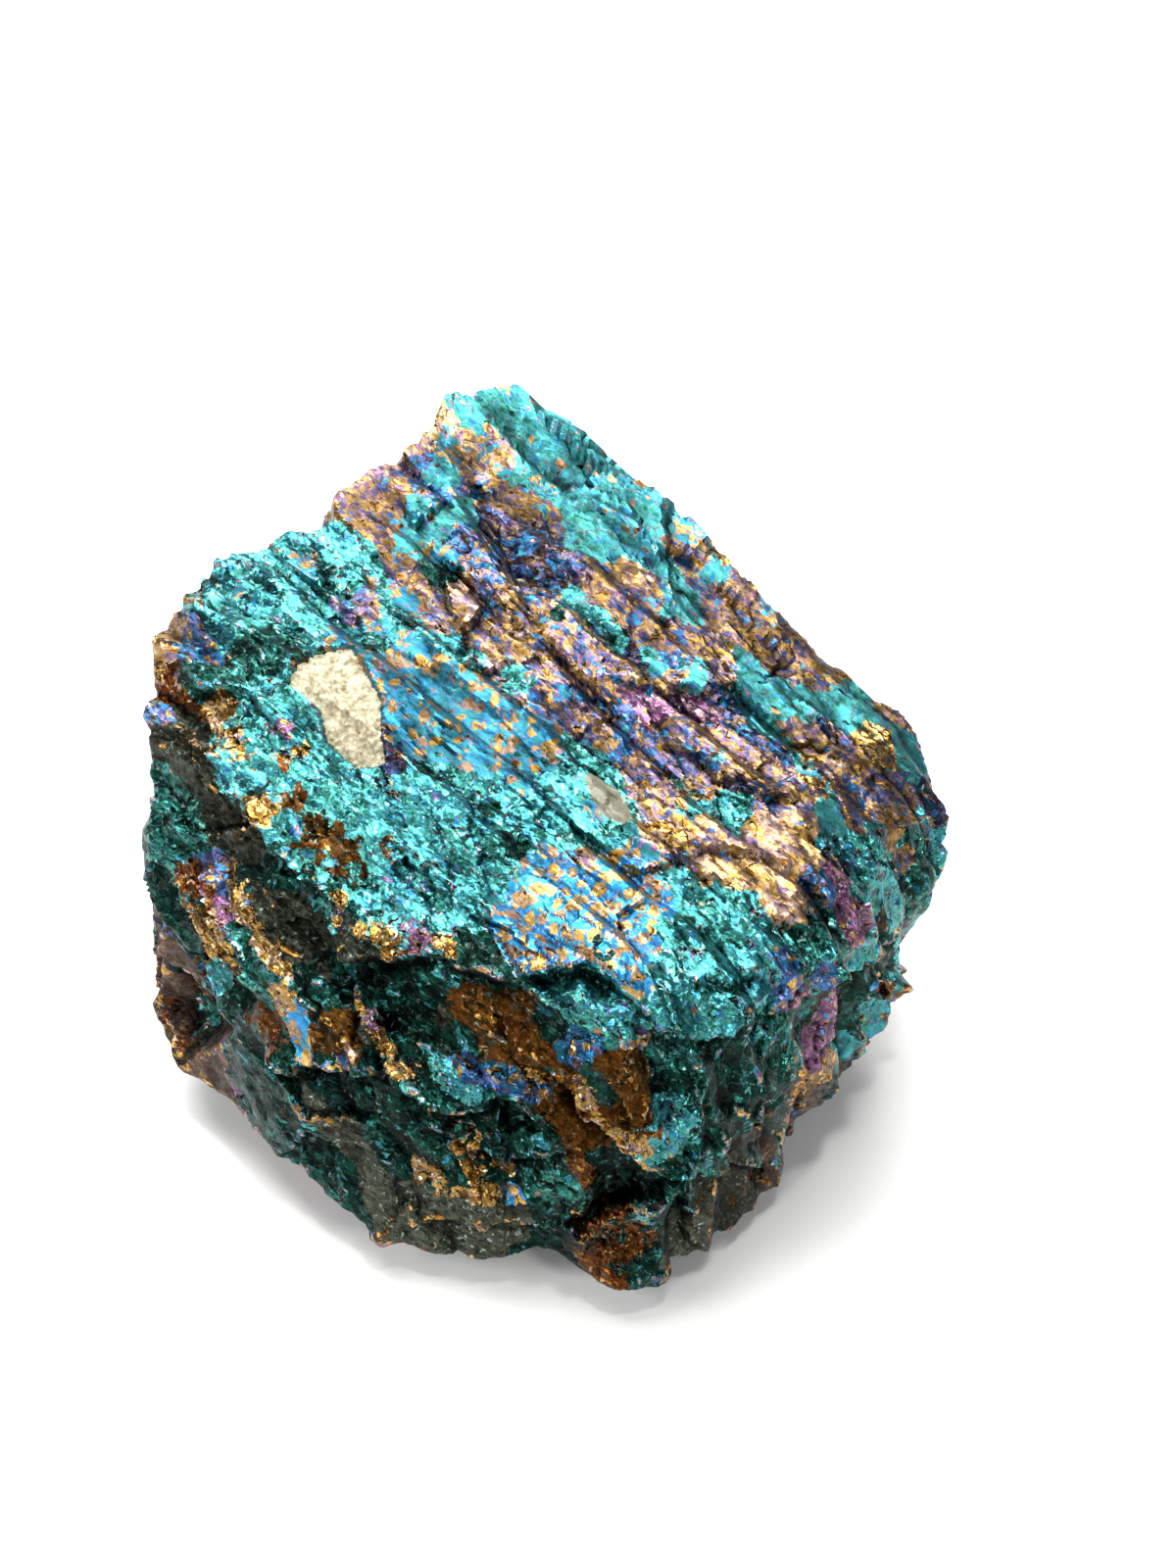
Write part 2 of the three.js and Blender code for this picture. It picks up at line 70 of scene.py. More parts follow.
# corners where the broken faces meet
corners = dict(
    rimBack=[(-6.5, 28.5, 10), (-2, 29, 10.5), (-0.5, 28, 10), (2.5, 25.5, 9.5), (6.5, 22, 8), (7, 21, 7),
        (11, 17.5, 6), (17.5, 11.5, 3), (21.5, 8.5, 1.5), (22.5, 7, 0.5), (24, 4, -1.5), (23, 0.5, -4),
        (20.5, -1.5, -5)],
    rimFront=[(20, 0.5, -10.5), (22, 0, -13), (19, -3.5, -14.5), (17, -7.5, -13.5), (14.5, -8.5, -15),
        (14, -11.5, -18), (9.5, -15.5, -18), (5, -19.5, -17.5), (0.5, -17.5, -17), (-4, -16.5, -17.5),
        (-9.5, -15.5, -17.5), (-16, -10, -15.5), (-22.5, -3.5, -16), (-24.5, 0, -15), (-23.5, 3.5, -12.5)],
    rimLeft=[(-23.5, 1.5, -5.5), (-23.5, 4, -2), (-24, 6.5, 2), (-23.5, 9.5, 4), (-23, 13, 4.5),
        (-21, 15.5, 5.5), (-20, 17.5, 6), (-17, 18, 6.5), (-13, 19.5, 7.5), (-13, 22, 8), (-10, 24, 8.5),
        (-8, 26, 9)],
    broadFace=[(-15, 8, 6.5), (-10, 15, 6.5), (-6, 21.5, 8.5), (-2.5, 18, 6), (2.5, 23, 8.5),
        (7.5, 13.5, 6), (0, 9, 5.5), (4.5, 5.5, 4), (10.5, 6.5, 4.5), (15.5, 1.5, 3), (19.5, 0, 0.5),
        (8, -3, 2.5), (13.5, -6.5, 0.5), (0, -2.5, 3), (-6, 1.5, 4.5), (-11.5, -2, 3), (-17.5, 4, 4),
        (-4, -7, 2), (3.5, -9.5, 1.5)],
    frontRidge=[(-18.5, 1.5, 2.5), (-15, -2.5, 1), (-10.5, -7, 0), (-7, -8.5, 1), (-3, -11, 0.5),
        (0.5, -12.5, 0), (4.5, -13.5, 0), (7.5, -12, 0.5), (11, -12.5, -1), (13.5, -10, -1),
        (17, -6.5, -2)],
    ledge=[(-23, 2.5, -2.5), (-19.5, 0, -2), (-17.5, -3.5, -3.5), (-16, -6, -4.5), (-14.5, -8.5, -6),
        (-11.5, -11, -6.5), (-7, -12.5, -6.5), (-3, -13, -4.5), (0, -14, -4.5), (3.5, -16.5, -7),
        (6.5, -17, -8.5), (8, -17, -9.5), (11.5, -14, -7), (15.5, -9.5, -8.5)],
    hollowUnderRidge=[(-13, -5.5, -2.5), (-6.5, -10, -3)],
    lowerTier=[(-18.5, -7, -9.5), (-14.5, -11, -11), (-9.5, -14, -12), (-5, -15.5, -12),
        (-2, -16.5, -13.5), (1, -17, -14.5), (4, -16.5, -13.5), (5.5, -18, -14.5), (8, -16, -14)],
    underRim=[(20.5, 1.5, -15.5), (17, -2.5, -16.5), (14, -6.5, -17.5), (11.5, -11, -19.5),
        (8.5, -13.5, -19.5), (4.5, -16.5, -19.5), (0, -15, -19), (-4.5, -14, -19.5), (-9, -13, -19),
        (-14.5, -8.5, -18), (-20.5, -2, -18), (-22.5, 1, -17.5), (-21.5, 4, -16)],
    rightEnd=[(16, -7, -8), (13.5, -11, -5), (9.5, -15, -10.5), (19.5, -2.5, -8.5)],
    backLedge=[(-22.5, 14, 0), (-18.5, 18.5, 1.5), (-14.5, 22, 2.5), (-10.5, 25.5, 3), (-6, 29, 4),
        (-1, 28.5, 5), (3.5, 27.5, 4.5), (9, 22, 2), (13, 17.5, -0.5), (18.5, 14, -2.5), (22.5, 9, -4)],
    hollowUnderBackLedge=[(-21, 11, -3), (-15.5, 17, -3), (-9, 22.5, -3), (-2, 26.5, -1), (4.5, 25, -1.5),
        (10, 20, -4), (16.5, 14.5, -6)],
    backTier=[(-23, 8, -8), (-18, 13.5, -9), (-13, 17.5, -8.5), (-8, 22, -8.5), (-3, 25, -7), (2, 25, -8),
        (7, 23.5, -6.5), (12, 20.5, -8.5), (17.5, 15, -9.5), (22, 8, -9), (20.5, 3, -13)],
    lowerBack=[(-21, 3, -14.5), (-16.5, 9, -15), (-11, 14, -15.5), (-6, 18, -15), (-1, 21, -13),
        (5, 19.5, -14.5), (10, 16, -14.5), (15, 10, -15.5), (17, 3, -17), (-19, -2, -13)],
    underside=[(4, -5, -20.5), (8, 2, -20.5), (4, 10, -20.5), (-4, 10, -20.5), (-8, 3, -20.5),
        (-4, -4, -20.5), (11, 9, -18.5), (-13, 7, -17.5), (-13, -4, -17.5), (0, 16, -17.5),
        (5, -13, -18.5), (12, -4, -18.5), (-7, -10, -18.5)],
)

# crest lines: the surface rises to each and drops away on its right-hand side, for someone who
# walks along it on the outside; the number is how far it stands out
crests = dict(
    leftRidge=(1.2, [(-16.5, -0.5, 1.5), (-14.5, -3, 1), (-12.5, -5, 0.5), (-12, -6, -1),
        (-11, -8, -1.5)]),
    frontRidge=(1.2, [(-11, -8, -1.5), (-8.5, -8.5, -1), (-6, -9.5, 0), (-3.5, -10.5, 0.5), (-2, -11, 0.5),
        (0, -11, 1), (2.5, -10.5, 1), (4, -11.5, 0.5)]),
    goldLedge=(1.2, [(-19.5, -1, -3), (-19, -2, -4), (-18, -3.5, -4), (-17, -5, -4.5), (-17, -6, -6)]),
    leftStreak=(0.8, [(-21, -0.5, -4.5), (-20.5, -2, -5), (-19, -3.5, -5.5), (-17.5, -5, -6)]),
    blueLedge=(1.5, [(-15.5, -9, -8.5), (-14.5, -10, -9), (-13, -10.5, -8), (-10.5, -11.5, -7)]),
    oliveRidge=(1.2, [(-11, -9.5, -3.5), (-10.5, -10, -5), (-9, -11.5, -6), (-7.5, -12.5, -7),
        (-6.5, -13, -7.5)]),
    midRidge=(1.2, [(-6.5, -13, -7.5), (-5, -13.5, -8), (-3.5, -14, -7), (-2.5, -13.5, -6),
        (-1, -14.5, -6.5), (0, -15, -7.5)]),
    amberRidge=(1.2, [(0, -14, -4), (2, -15, -5), (3, -16, -6), (4, -16.5, -7), (5.5, -17, -8.5),
        (7.5, -17, -9)]),
    lowRidge=(1.0, [(-5.5, -14.5, -9.5), (-3.5, -15, -9.5), (-2, -15.5, -10), (0, -15.5, -9)]),
    greyTier=(0.8, [(-7, -15.5, -15.5), (-5, -16, -14.5), (-1.5, -16.5, -14), (1, -17, -14)]),
    cornerLump=(1.3, [(7.5, -17, -11), (6, -17.5, -11.5), (4.5, -16.5, -13), (2, -17, -14)]),
    lensRim=(0.6, [(6, -13, -0.5), (7, -13, -1.5), (9.5, -13, -2), (11.5, -12, -1.5)]),
    lensGroove=(0.5, [(6.5, -12, 0.5), (7.5, -11.5, 0.5), (9, -11, 0), (11, -10.5, -0.5)]),
    rightRidge=(1.0, [(12, -12, -2.5), (13, -11, -2.5), (14.5, -9.5, -3), (16.5, -7, -4), (19.5, -3, -5)]),
    sideLobe=(1.3, [(18, -5, -12.5), (17.5, -5, -9), (18, -4.5, -7.5), (20.5, -0.5, -10.5)]),
    tealSlab=(0.4, [(7.5, -17, -9), (8.5, -16, -8), (8, -15, -5.5)]),
    rightTier=(1.2, [(8.5, -16.5, -10), (10.5, -14, -12), (13, -11, -14.5)]),
    topLobe=(0.6, [(1.5, 22, 8), (5, 18.5, 7.5), (8.5, 15, 6), (11.5, 12, 5)]),
    darkLedge=(0.5, [(5.5, 8, 4.5), (8.5, 7.5, 4.5), (10, 7.5, 4.5)]),
    pits=(0.6, [(7.5, 4.5, 4), (9.5, 2.5, 3.5), (11.5, 1, 3), (13, 0.5, 3)]),
    goldSlab=(0.5, [(6.5, -1.5, 3), (8, -3, 2.5), (11.5, -3.5, 2), (14, -3.5, 1.5), (15, -4.5, 0.5)]),
    pinkSlab=(0.5, [(10, -5, 1.5), (12, -6.5, 0.5), (14, -7, 0)]),
    upperLeft=(0.6, [(-20.5, 8, 4.5), (-17.5, 7, 5.5), (-16.5, 6, 5)]),
    spottedEdge=(0.4, [(-7, 10, 6), (-5, 7.5, 5.5), (-3, 6, 5)]),
    streakEdge=(0.5, [(-6.5, 17, 7.5), (-2.5, 13, 6.5), (2, 9, 5.5), (4.5, 6, 4)]),
)

# outline of the quartz pocket and of a small pale lens, seen from above
pocketOutline = [(-15.2, 7), (-13.7, 9.4), (-11.6, 9.7), (-9.7, 6), (-9.6, 3.5), (-9.3, 2), (-11, 2.1),
                 (-12.8, 3.7), (-13.2, 5.4)]
lensOutline = [(2.2, 1.5), (2.9, 2), (3.9, 1.3), (4.6, 0.1), (5, -1.4), (4.3, -2), (3.3, -1.3),
               (2.5, 0.1)]


def unit(v):
    return v/np.linalg.norm(v, axis=-1, keepdims=True)


# the fraction left of a large sine, which gives each cell of a grid the same number every time
def scatter(cell, seed):
    turned = np.sin(cell[..., 0]*127.1+cell[..., 1]*311.7+cell[..., 2]*74.7+seed*19.19)*43758.5453
    return turned-np.floor(turned)


# numbers of the eight nearest cells, each weighed by an eased distance: soft lumps from -1 to 1
def softNoise(points, seed):
    cell = np.floor(points)
    near = points-cell
    near = near*near*(3-2*near)
    total = 0
    for corner in np.ndindex(2, 2, 2):
        share = np.prod(np.where(corner, near, 1-near), axis=-1)
        total = total+share*scatter(cell+corner, seed)
    return total*2-1


# each point takes the tilted plane of the nearest scattered centre, so chips meet in creases
def chipField(points, seed):
    cell = np.floor(points)
    nearest = np.full(points.shape[:-1], np.inf)
    height = np.zeros(points.shape[:-1])
    for step in np.ndindex(3, 3, 3):
        at = cell+step-1
        random = np.stack([scatter(at, seed+n) for n in range(1, 8)], -1)
        away = points-at-random[..., :3]
        reach = (away**2).sum(-1)
        own = (away*(random[..., 3:6]*2-1)).sum(-1)+random[..., 6]-0.5
        height = np.where(reach < nearest, own, height)
        nearest = np.minimum(nearest, reach)
    return np.clip(height, -1, 1)


# eased step from 0 to 1 between two limits
def easeBetween(x, low, high):
    t = np.clip((x-low)/(high-low), 0, 1)
    return t*t*(3-2*t)


# distance to the nearest side of an outline seen from above, positive inside it
def insideOutline(points, outline):
    x, y = points[..., 0], points[..., 1]
    nearest = np.full(x.shape, np.inf)
    inside = np.zeros(x.shape, bool)
    for (ax, ay), (bx, by) in zip(outline, outline[1:]+outline[:1]):
        share = np.clip(((x-ax)*(bx-ax)+(y-ay)*(by-ay))/((bx-ax)**2+(by-ay)**2), 0, 1)
        nearest = np.minimum(nearest, np.hypot(x-ax-share*(bx-ax), y-ay-share*(by-ay)))
        if ay != by:
            inside ^= ((ay > y) != (by > y)) & (x < (bx-ax)*(y-ay)/(by-ay)+ax)
    return np.where(inside, nearest, -nearest)


# directions in the ore as rows: along a streak, up the layer, through the layers
def layerRows():
    turn, dip = np.radians(lump["layerTurn"]), np.radians(lump["streakDip"])
    through = np.array([np.cos(turn), np.sin(turn), 0])
    along = np.array([np.sin(turn)*np.cos(dip), -np.cos(turn)*np.cos(dip), -np.sin(dip)])
    return np.stack([along, np.cross(along, through), through])


layers = layerRows()


# rises over its slope share and drops over the rest, from -0.5 to 0.5
def ledgeProfile(x, slopeShare):
    share = x-np.floor(x)
    return np.where(share < slopeShare, share/slopeShare, (1-share)/(1-slopeShare))-0.5


# the nearest stretch of a crest line gives how far a point lies to its right and past its end;
# the height rises slowly to the line, drops past it into a hollow, and comes slowly out again
def crestHeight(points, lean):
    form = lump["crests"]
    waver = [form["waver"]*softNoise(points/form["waverSize"], seed)
             + form["fineWaver"]*softNoise(points/form["fineWaverSize"], seed+3)
             for seed in (51, 52, 53)]
    points = points+np.stack(waver, -1)
    total = np.zeros(len(points))
    for height, line in crests.values():
        line = np.array(line, float)
        reach = np.linalg.norm(line-line.mean(0), axis=1).max()+form["reach"]
        near = np.flatnonzero(np.linalg.norm(points-line.mean(0), axis=1) < reach)
        nearest = np.full(len(near), np.inf)
        aside = np.zeros(len(near))
        for start, stop in zip(line[:-1], line[1:]):
            way = stop-start
            share = np.clip((points[near]-start)@way/(way@way), 0, 1)
            away = points[near]-start-share[:, None]*way
            distance = np.linalg.norm(away, axis=1)
            right = (away*unit(np.cross(way, lean[near]))).sum(-1)
            aside = np.where(distance < nearest, right, aside)
            nearest = np.minimum(nearest, distance)
        past = np.sqrt(np.maximum(nearest**2-aside**2, 0))
        rise = np.exp(np.minimum(aside, 0)/form["rise"])
        drop = (1+form["hollow"])*np.clip(aside/form["drop"], 0, 1)
        wayOut = np.exp(np.minimum(form["drop"]-aside, 0)/form["wayOut"])
        profile = np.where(aside < form["drop"], rise-drop, -form["hollow"]*wayOut)
        total[near] += height*form["share"]*np.exp(-(past/form["end"])**2)*profile
    return total


# ledges and chips of the solid, plus the small ones that only show from close by
def relief(points, lean):
    place = points@layers.T
    ledges, small = lump["ledges"], lump["smallLedges"]
    depth = place[:, 2]+ledges["waver"]*softNoise(points/ledges["waverSize"], 3)
    fineDepth = depth+ledges["fineWaver"]*softNoise(points/ledges["fineWaverSize"], 8)
    strength = ledges["even"]+(1-ledges["even"])*softNoise(place/ledges["changeSize"], 5)
    height = ledges["height"]*strength*ledgeProfile(fineDepth/ledges["pitch"], ledges["slopeShare"])
    height = height+crestHeight(points, lean)
    for key, seed, waverSeed in (("chips", 10, 4), ("smallChips", 20, 9)):
        chips = lump[key]
        waver = chips["waver"]*softNoise(points/chips["waverSize"], waverSeed)
        height = height+chips["height"]*chipField((place+waver[:, None])/chips["size"], seed)
    fineStrength = small["even"]+(1-small["even"])*softNoise(place/small["changeSize"], 6)
    fineStep = fineDepth/small["pitch"]+small["waver"]*softNoise(points/small["waverSize"], 7)
    height = height+small["height"]*fineStrength*ledgeProfile(fineStep, small["slopeShare"])
    for lumps, seed in ((lump["lumps"], 30), (lump["smallLumps"], 31)):
        height = height+lumps["height"]*softNoise(points/lumps["size"], seed)
    return height


def pocketDepth(points):
    wall = lump["pocket"]["wall"]
    sunk = easeBetween(insideOutline(points, pocketOutline), -wall, wall)
    return np.where(points[:, 2] > 0, lump["pocket"]["depth"]*sunk, 0)


# triangles that join neighbouring corners as seen from the heart, from the hull of their directions
def brokenFaces(reaches):
    hull = bmesh.new()
    verts = [hull.verts.new(tuple(sight)) for sight in unit(reaches)]
    for n, vert in enumerate(verts):
        vert.index = n
    bmesh.ops.convex_hull(hull, input=verts)
    faces = np.array([[vert.index for vert in face.verts] for face in hull.faces])
    hull.free()
    a, b, c = reaches[faces.T]
    turnedIn = (np.cross(b-a, c-a)*(a+b+c)).sum(-1) < 0
    faces[turnedIn] = faces[turnedIn][:, [0, 2, 1]]
    return faces


# six sides of a block as grids, joined along their common edges
def blockGrid(size, spacing):
    counts = [round(side/step) for side, step in zip(size, spacing)]
    points, quads, base = [], [], 0
    for axis in range(3):
        u, v = (axis+1) % 3, (axis+2) % 3
        a, b = np.meshgrid(np.linspace(-1, 1, counts[u]+1), np.linspace(-1, 1, counts[v]+1), indexing="ij")
        i, j = np.indices((counts[u], counts[v]))
        first = (i*(counts[v]+1)+j).ravel()
        quad = np.stack([first, first+counts[v]+1, first+counts[v]+2, first+1], 1)
        for side in (1, -1):
            grid = np.empty(a.shape+(3,))
            grid[..., axis], grid[..., u], grid[..., v] = side, a, b
            points.append(grid.reshape(-1, 3)*size/2)
            quads.append((quad if side > 0 else quad[:, ::-1])+base)
            base += a.size
    points, quads = np.concatenate(points), np.concatenate(quads)
    _, first, joined = np.unique(np.round(points, 5), axis=0, return_index=True, return_inverse=True)
    return points[first], joined.reshape(-1)[quads]


# where each sight line from the heart meets a broken face, the shares of the face's three
# corners give the point and the way it leans out
def brokenSurface(sights):
    reaches = np.array([corner for group in corners.values() for corner in group])-lump["heart"]
    faces = brokenFaces(reaches)
    a, b, c = reaches[faces.T]
    leans = np.zeros_like(reaches)
    for n in range(3):
        np.add.at(leans, faces[:, n], np.cross(b-a, c-a))
    leans = unit(leans)
    base, lean = np.zeros_like(sights), np.zeros_like(sights)
    for face in faces:
        shares = sights@np.linalg.inv(reaches[face])
        hit = shares.min(-1) >= -1e-9
        share = shares[hit]/shares[hit].sum(-1, keepdims=True)
        base[hit] = share@reaches[face]
        lean[hit] = share@leans[face]
    return base+lump["heart"], unit(lean)


# each point of the block is a direction from the heart, shifted a little by noise; the relief
# stands along the lean
def lumpSurface():
    grid, quads = blockGrid(lump["block"], lump["spacing"])
    turn = np.radians(lump["layerTurn"])
    blockRows = np.array([[np.sin(turn), -np.cos(turn), 0], [np.cos(turn), np.sin(turn), 0], [0, 0, 1]])
    start = grid@blockRows+lump["blockMiddle"]-lump["heart"]
    size, reach, seeds = lump["edgeWander"]
    base, lean = brokenSurface(start+reach*np.stack([softNoise(start/size, seed) for seed in seeds], -1))
    points = base+lean*(relief(base, lean)-pocketDepth(base))[:, None]
    points[:, 2] = np.maximum(points[:, 2], lump["restHeight"])
    return points, quads


# the quartz crust is a thin block over the pocket: its top follows the ore some way below the
# surface and is covered in grains, and its rim runs on under the ore around the pocket
def crustSurface():
    grid, quads = blockGrid((1, 1, 1), (1/crust["across"], 1/crust["along"], 1))
    (left, right), (front, back) = crust["x"], crust["y"]
    x = left+(right-left)*(grid[:, 0]+0.5)
    y = front+(back-front)*(grid[:, 1]+0.5)
    start = np.stack([x, y, np.full_like(x, crust["z"])], -1)
    base, lean = brokenSurface(start-lump["heart"])
    grains = chipField(base/crust["grain"], 90)
    grains = grains+crust["roughPart"]*softNoise(base/crust["roughSize"], 95)
    top = relief(base, lean)-crust["sunk"]+crust["grainHeight"]*grains
    height = np.where(grid[:, 2] > 0, top, top-crust["thick"])
    return base+lean*height[:, None], quads


# at each point, the sum of what the faces around it carry
def sumOverFaces(carried, quads, count):
    rows = np.repeat(carried, 4, axis=0)
    return np.stack([np.bincount(quads.ravel(), row, count) for row in rows.T], -1)


# how far each point lies below the mean of its neighbours, after some rounds of averaging
def hollowness(points, quads, rounds):
    mean = points
    counts = np.bincount(quads.ravel(), minlength=len(points))[:, None]
    for _ in range(rounds):
        mean = sumOverFaces(mean[quads].mean(1), quads, len(points))/counts
    corner = points[quads]
    across = np.cross(corner[:, 2]-corner[:, 0], corner[:, 3]-corner[:, 1])
    normal = unit(sumOverFaces(across, quads, len(points)))
    return ((mean-points)*normal).sum(-1), normal


crust = dict(
    x=(-16.2, -8.6), y=(1.2, 10.5), z=5.3,   # the block over the pocket
    across=92, along=112,                    # steps
    sunk=0.5, thick=0.7,
    grain=0.32, grainHeight=0.13, roughPart=0.5, roughSize=0.9,   # of the mesh
    fineGrain=0.28, clouds=0.6, cloudStops=[(0.36, "#8C8262"), (0.58, "#D8CCAC")],   # of the colour
    # painted shade between the grains, darker towards their borders
    shadeBetweenGrains=(0.3, 0.75, 1, 0.72), bump=0.12, bumpShare=0.6, roughness=0.55, glow=0.15, glowDepth=0.4,
)


# the camera's place from the lump's mark, and the height of what it sees there, in millimetres
view = dict(elevation=45, distance=200, aside=2.4, above=3.2, height=91.2, sightWidth=0.4)


# the film: kinds of tarnish, and where each lies
# film is the tarnish's thickness, from 0 for bare metal to 1 for the thickest; spread and streaks
# are how much it changes in blotches and along the layers; spots is how many round thin spots
# break it; glow is how bright its colour is made, partly the kind's own tone and partly painted
# shade, lower for most kinds of the front and lower faces, which lay in shade; foil is how
# crumpled it is; stretch is how far a patch runs along the streaks for its width
filmSettings = ("film", "spread", "streaks", "spots", "glow", "foil", "stretch")
filmKinds = {kind: dict(zip(filmSettings, row)) for kind, row in dict(
    tealFoil=(0.75, 0.055, 0.02, 0.05, 0.76, 0.5, 1.2),
    tealSoft=(0.74, 0.055, 0.03, 0.08, 0.6, 0.13, 1.4),
    spottedBlue=(0.64, 0.03, 0.02, 0.9, 0.62, 0.12, 1.3),
    azureCopper=(0.58, 0.03, 0.02, 1.08, 1.0, 0.3, 1.2),
    duskBlue=(0.54, 0.05, 0.03, 0.7, 0.42, 0.5, 1.2),
    goldStreaks=(0.35, 0.1, 0.08, 0.5, 0.66, 0.34, 1.8),
    pinkGold=(0.29, 0.05, 0.05, 0.1, 0.86, 0.32, 1.6),
    brownMatte=(0.33, 0.1, 0.08, 0.4, 0.42, 0.2, 1.8),
    darkPurple=(0.44, 0.07, 0.08, 0.1, 0.3, 0.5, 1.8),
    violetBlue=(0.50, 0.06, 0.05, 0.55, 0.62, 0.4, 1.4),
    magenta=(0.388, 0.007, 0.008, 0.05, 0.7, 0.5, 1.6),
    # darkGreen, darkTeal and oliveWall are dark partly as painted shade on the front and lower faces
    darkGreen=(0.96, 0.035, 0.03, 0.02, 0.42, 0.4, 1.3),
    darkTeal=(0.87, 0.045, 0.04, 0.08, 0.5, 0.6, 1.4),
    oliveWall=(-0.01, 0.018, 0.02, 0.02, 0.5, 0.35, 1.6),
    greyFibre=(-0.04, 0.02, 0.03, 0.0, 1.0, 0.3, 1.8),
    amber=(0.064, 0.007, 0.01, 0.0, 0.55, 0.35, 1.2),
    gold=(0.20, 0.06, 0.06, 0.0, 0.76, 0.6, 1.6),
    # mauveBrown's low glow is partly painted shade on the lower left bulge
    mauveBrown=(0.32, 0.012, 0.01, 0.05, 0.14, 0.4, 1.3),
    redBrown=(0.098, 0.012, 0.01, 0.0, 0.6, 0.6, 1.2),
).items()}
filmGround = dict(
    wander=0.6, wanderSize=2.2, fallOff=1.2, facesUp=(-0.2, 0.75),
    wildSize=(7, 3.5, 3.5), wildWeight=0.03, least=0.0001,
)
# how common a kind is beyond the patches, on ground that faces down and on ground that faces up;
# a kind that isn't here has 0.4 on both; dark green and dark teal are commoner facing down, partly
# as painted shade on the lower faces
wildShares = dict(
    darkGreen=(2.4, 0.6), darkTeal=(1.8, 0.7), tealFoil=(0.7, 1.5),
    spottedBlue=(0.2, 0.2), azureCopper=(0.15, 0.15), duskBlue=(0.2, 0.2),
)
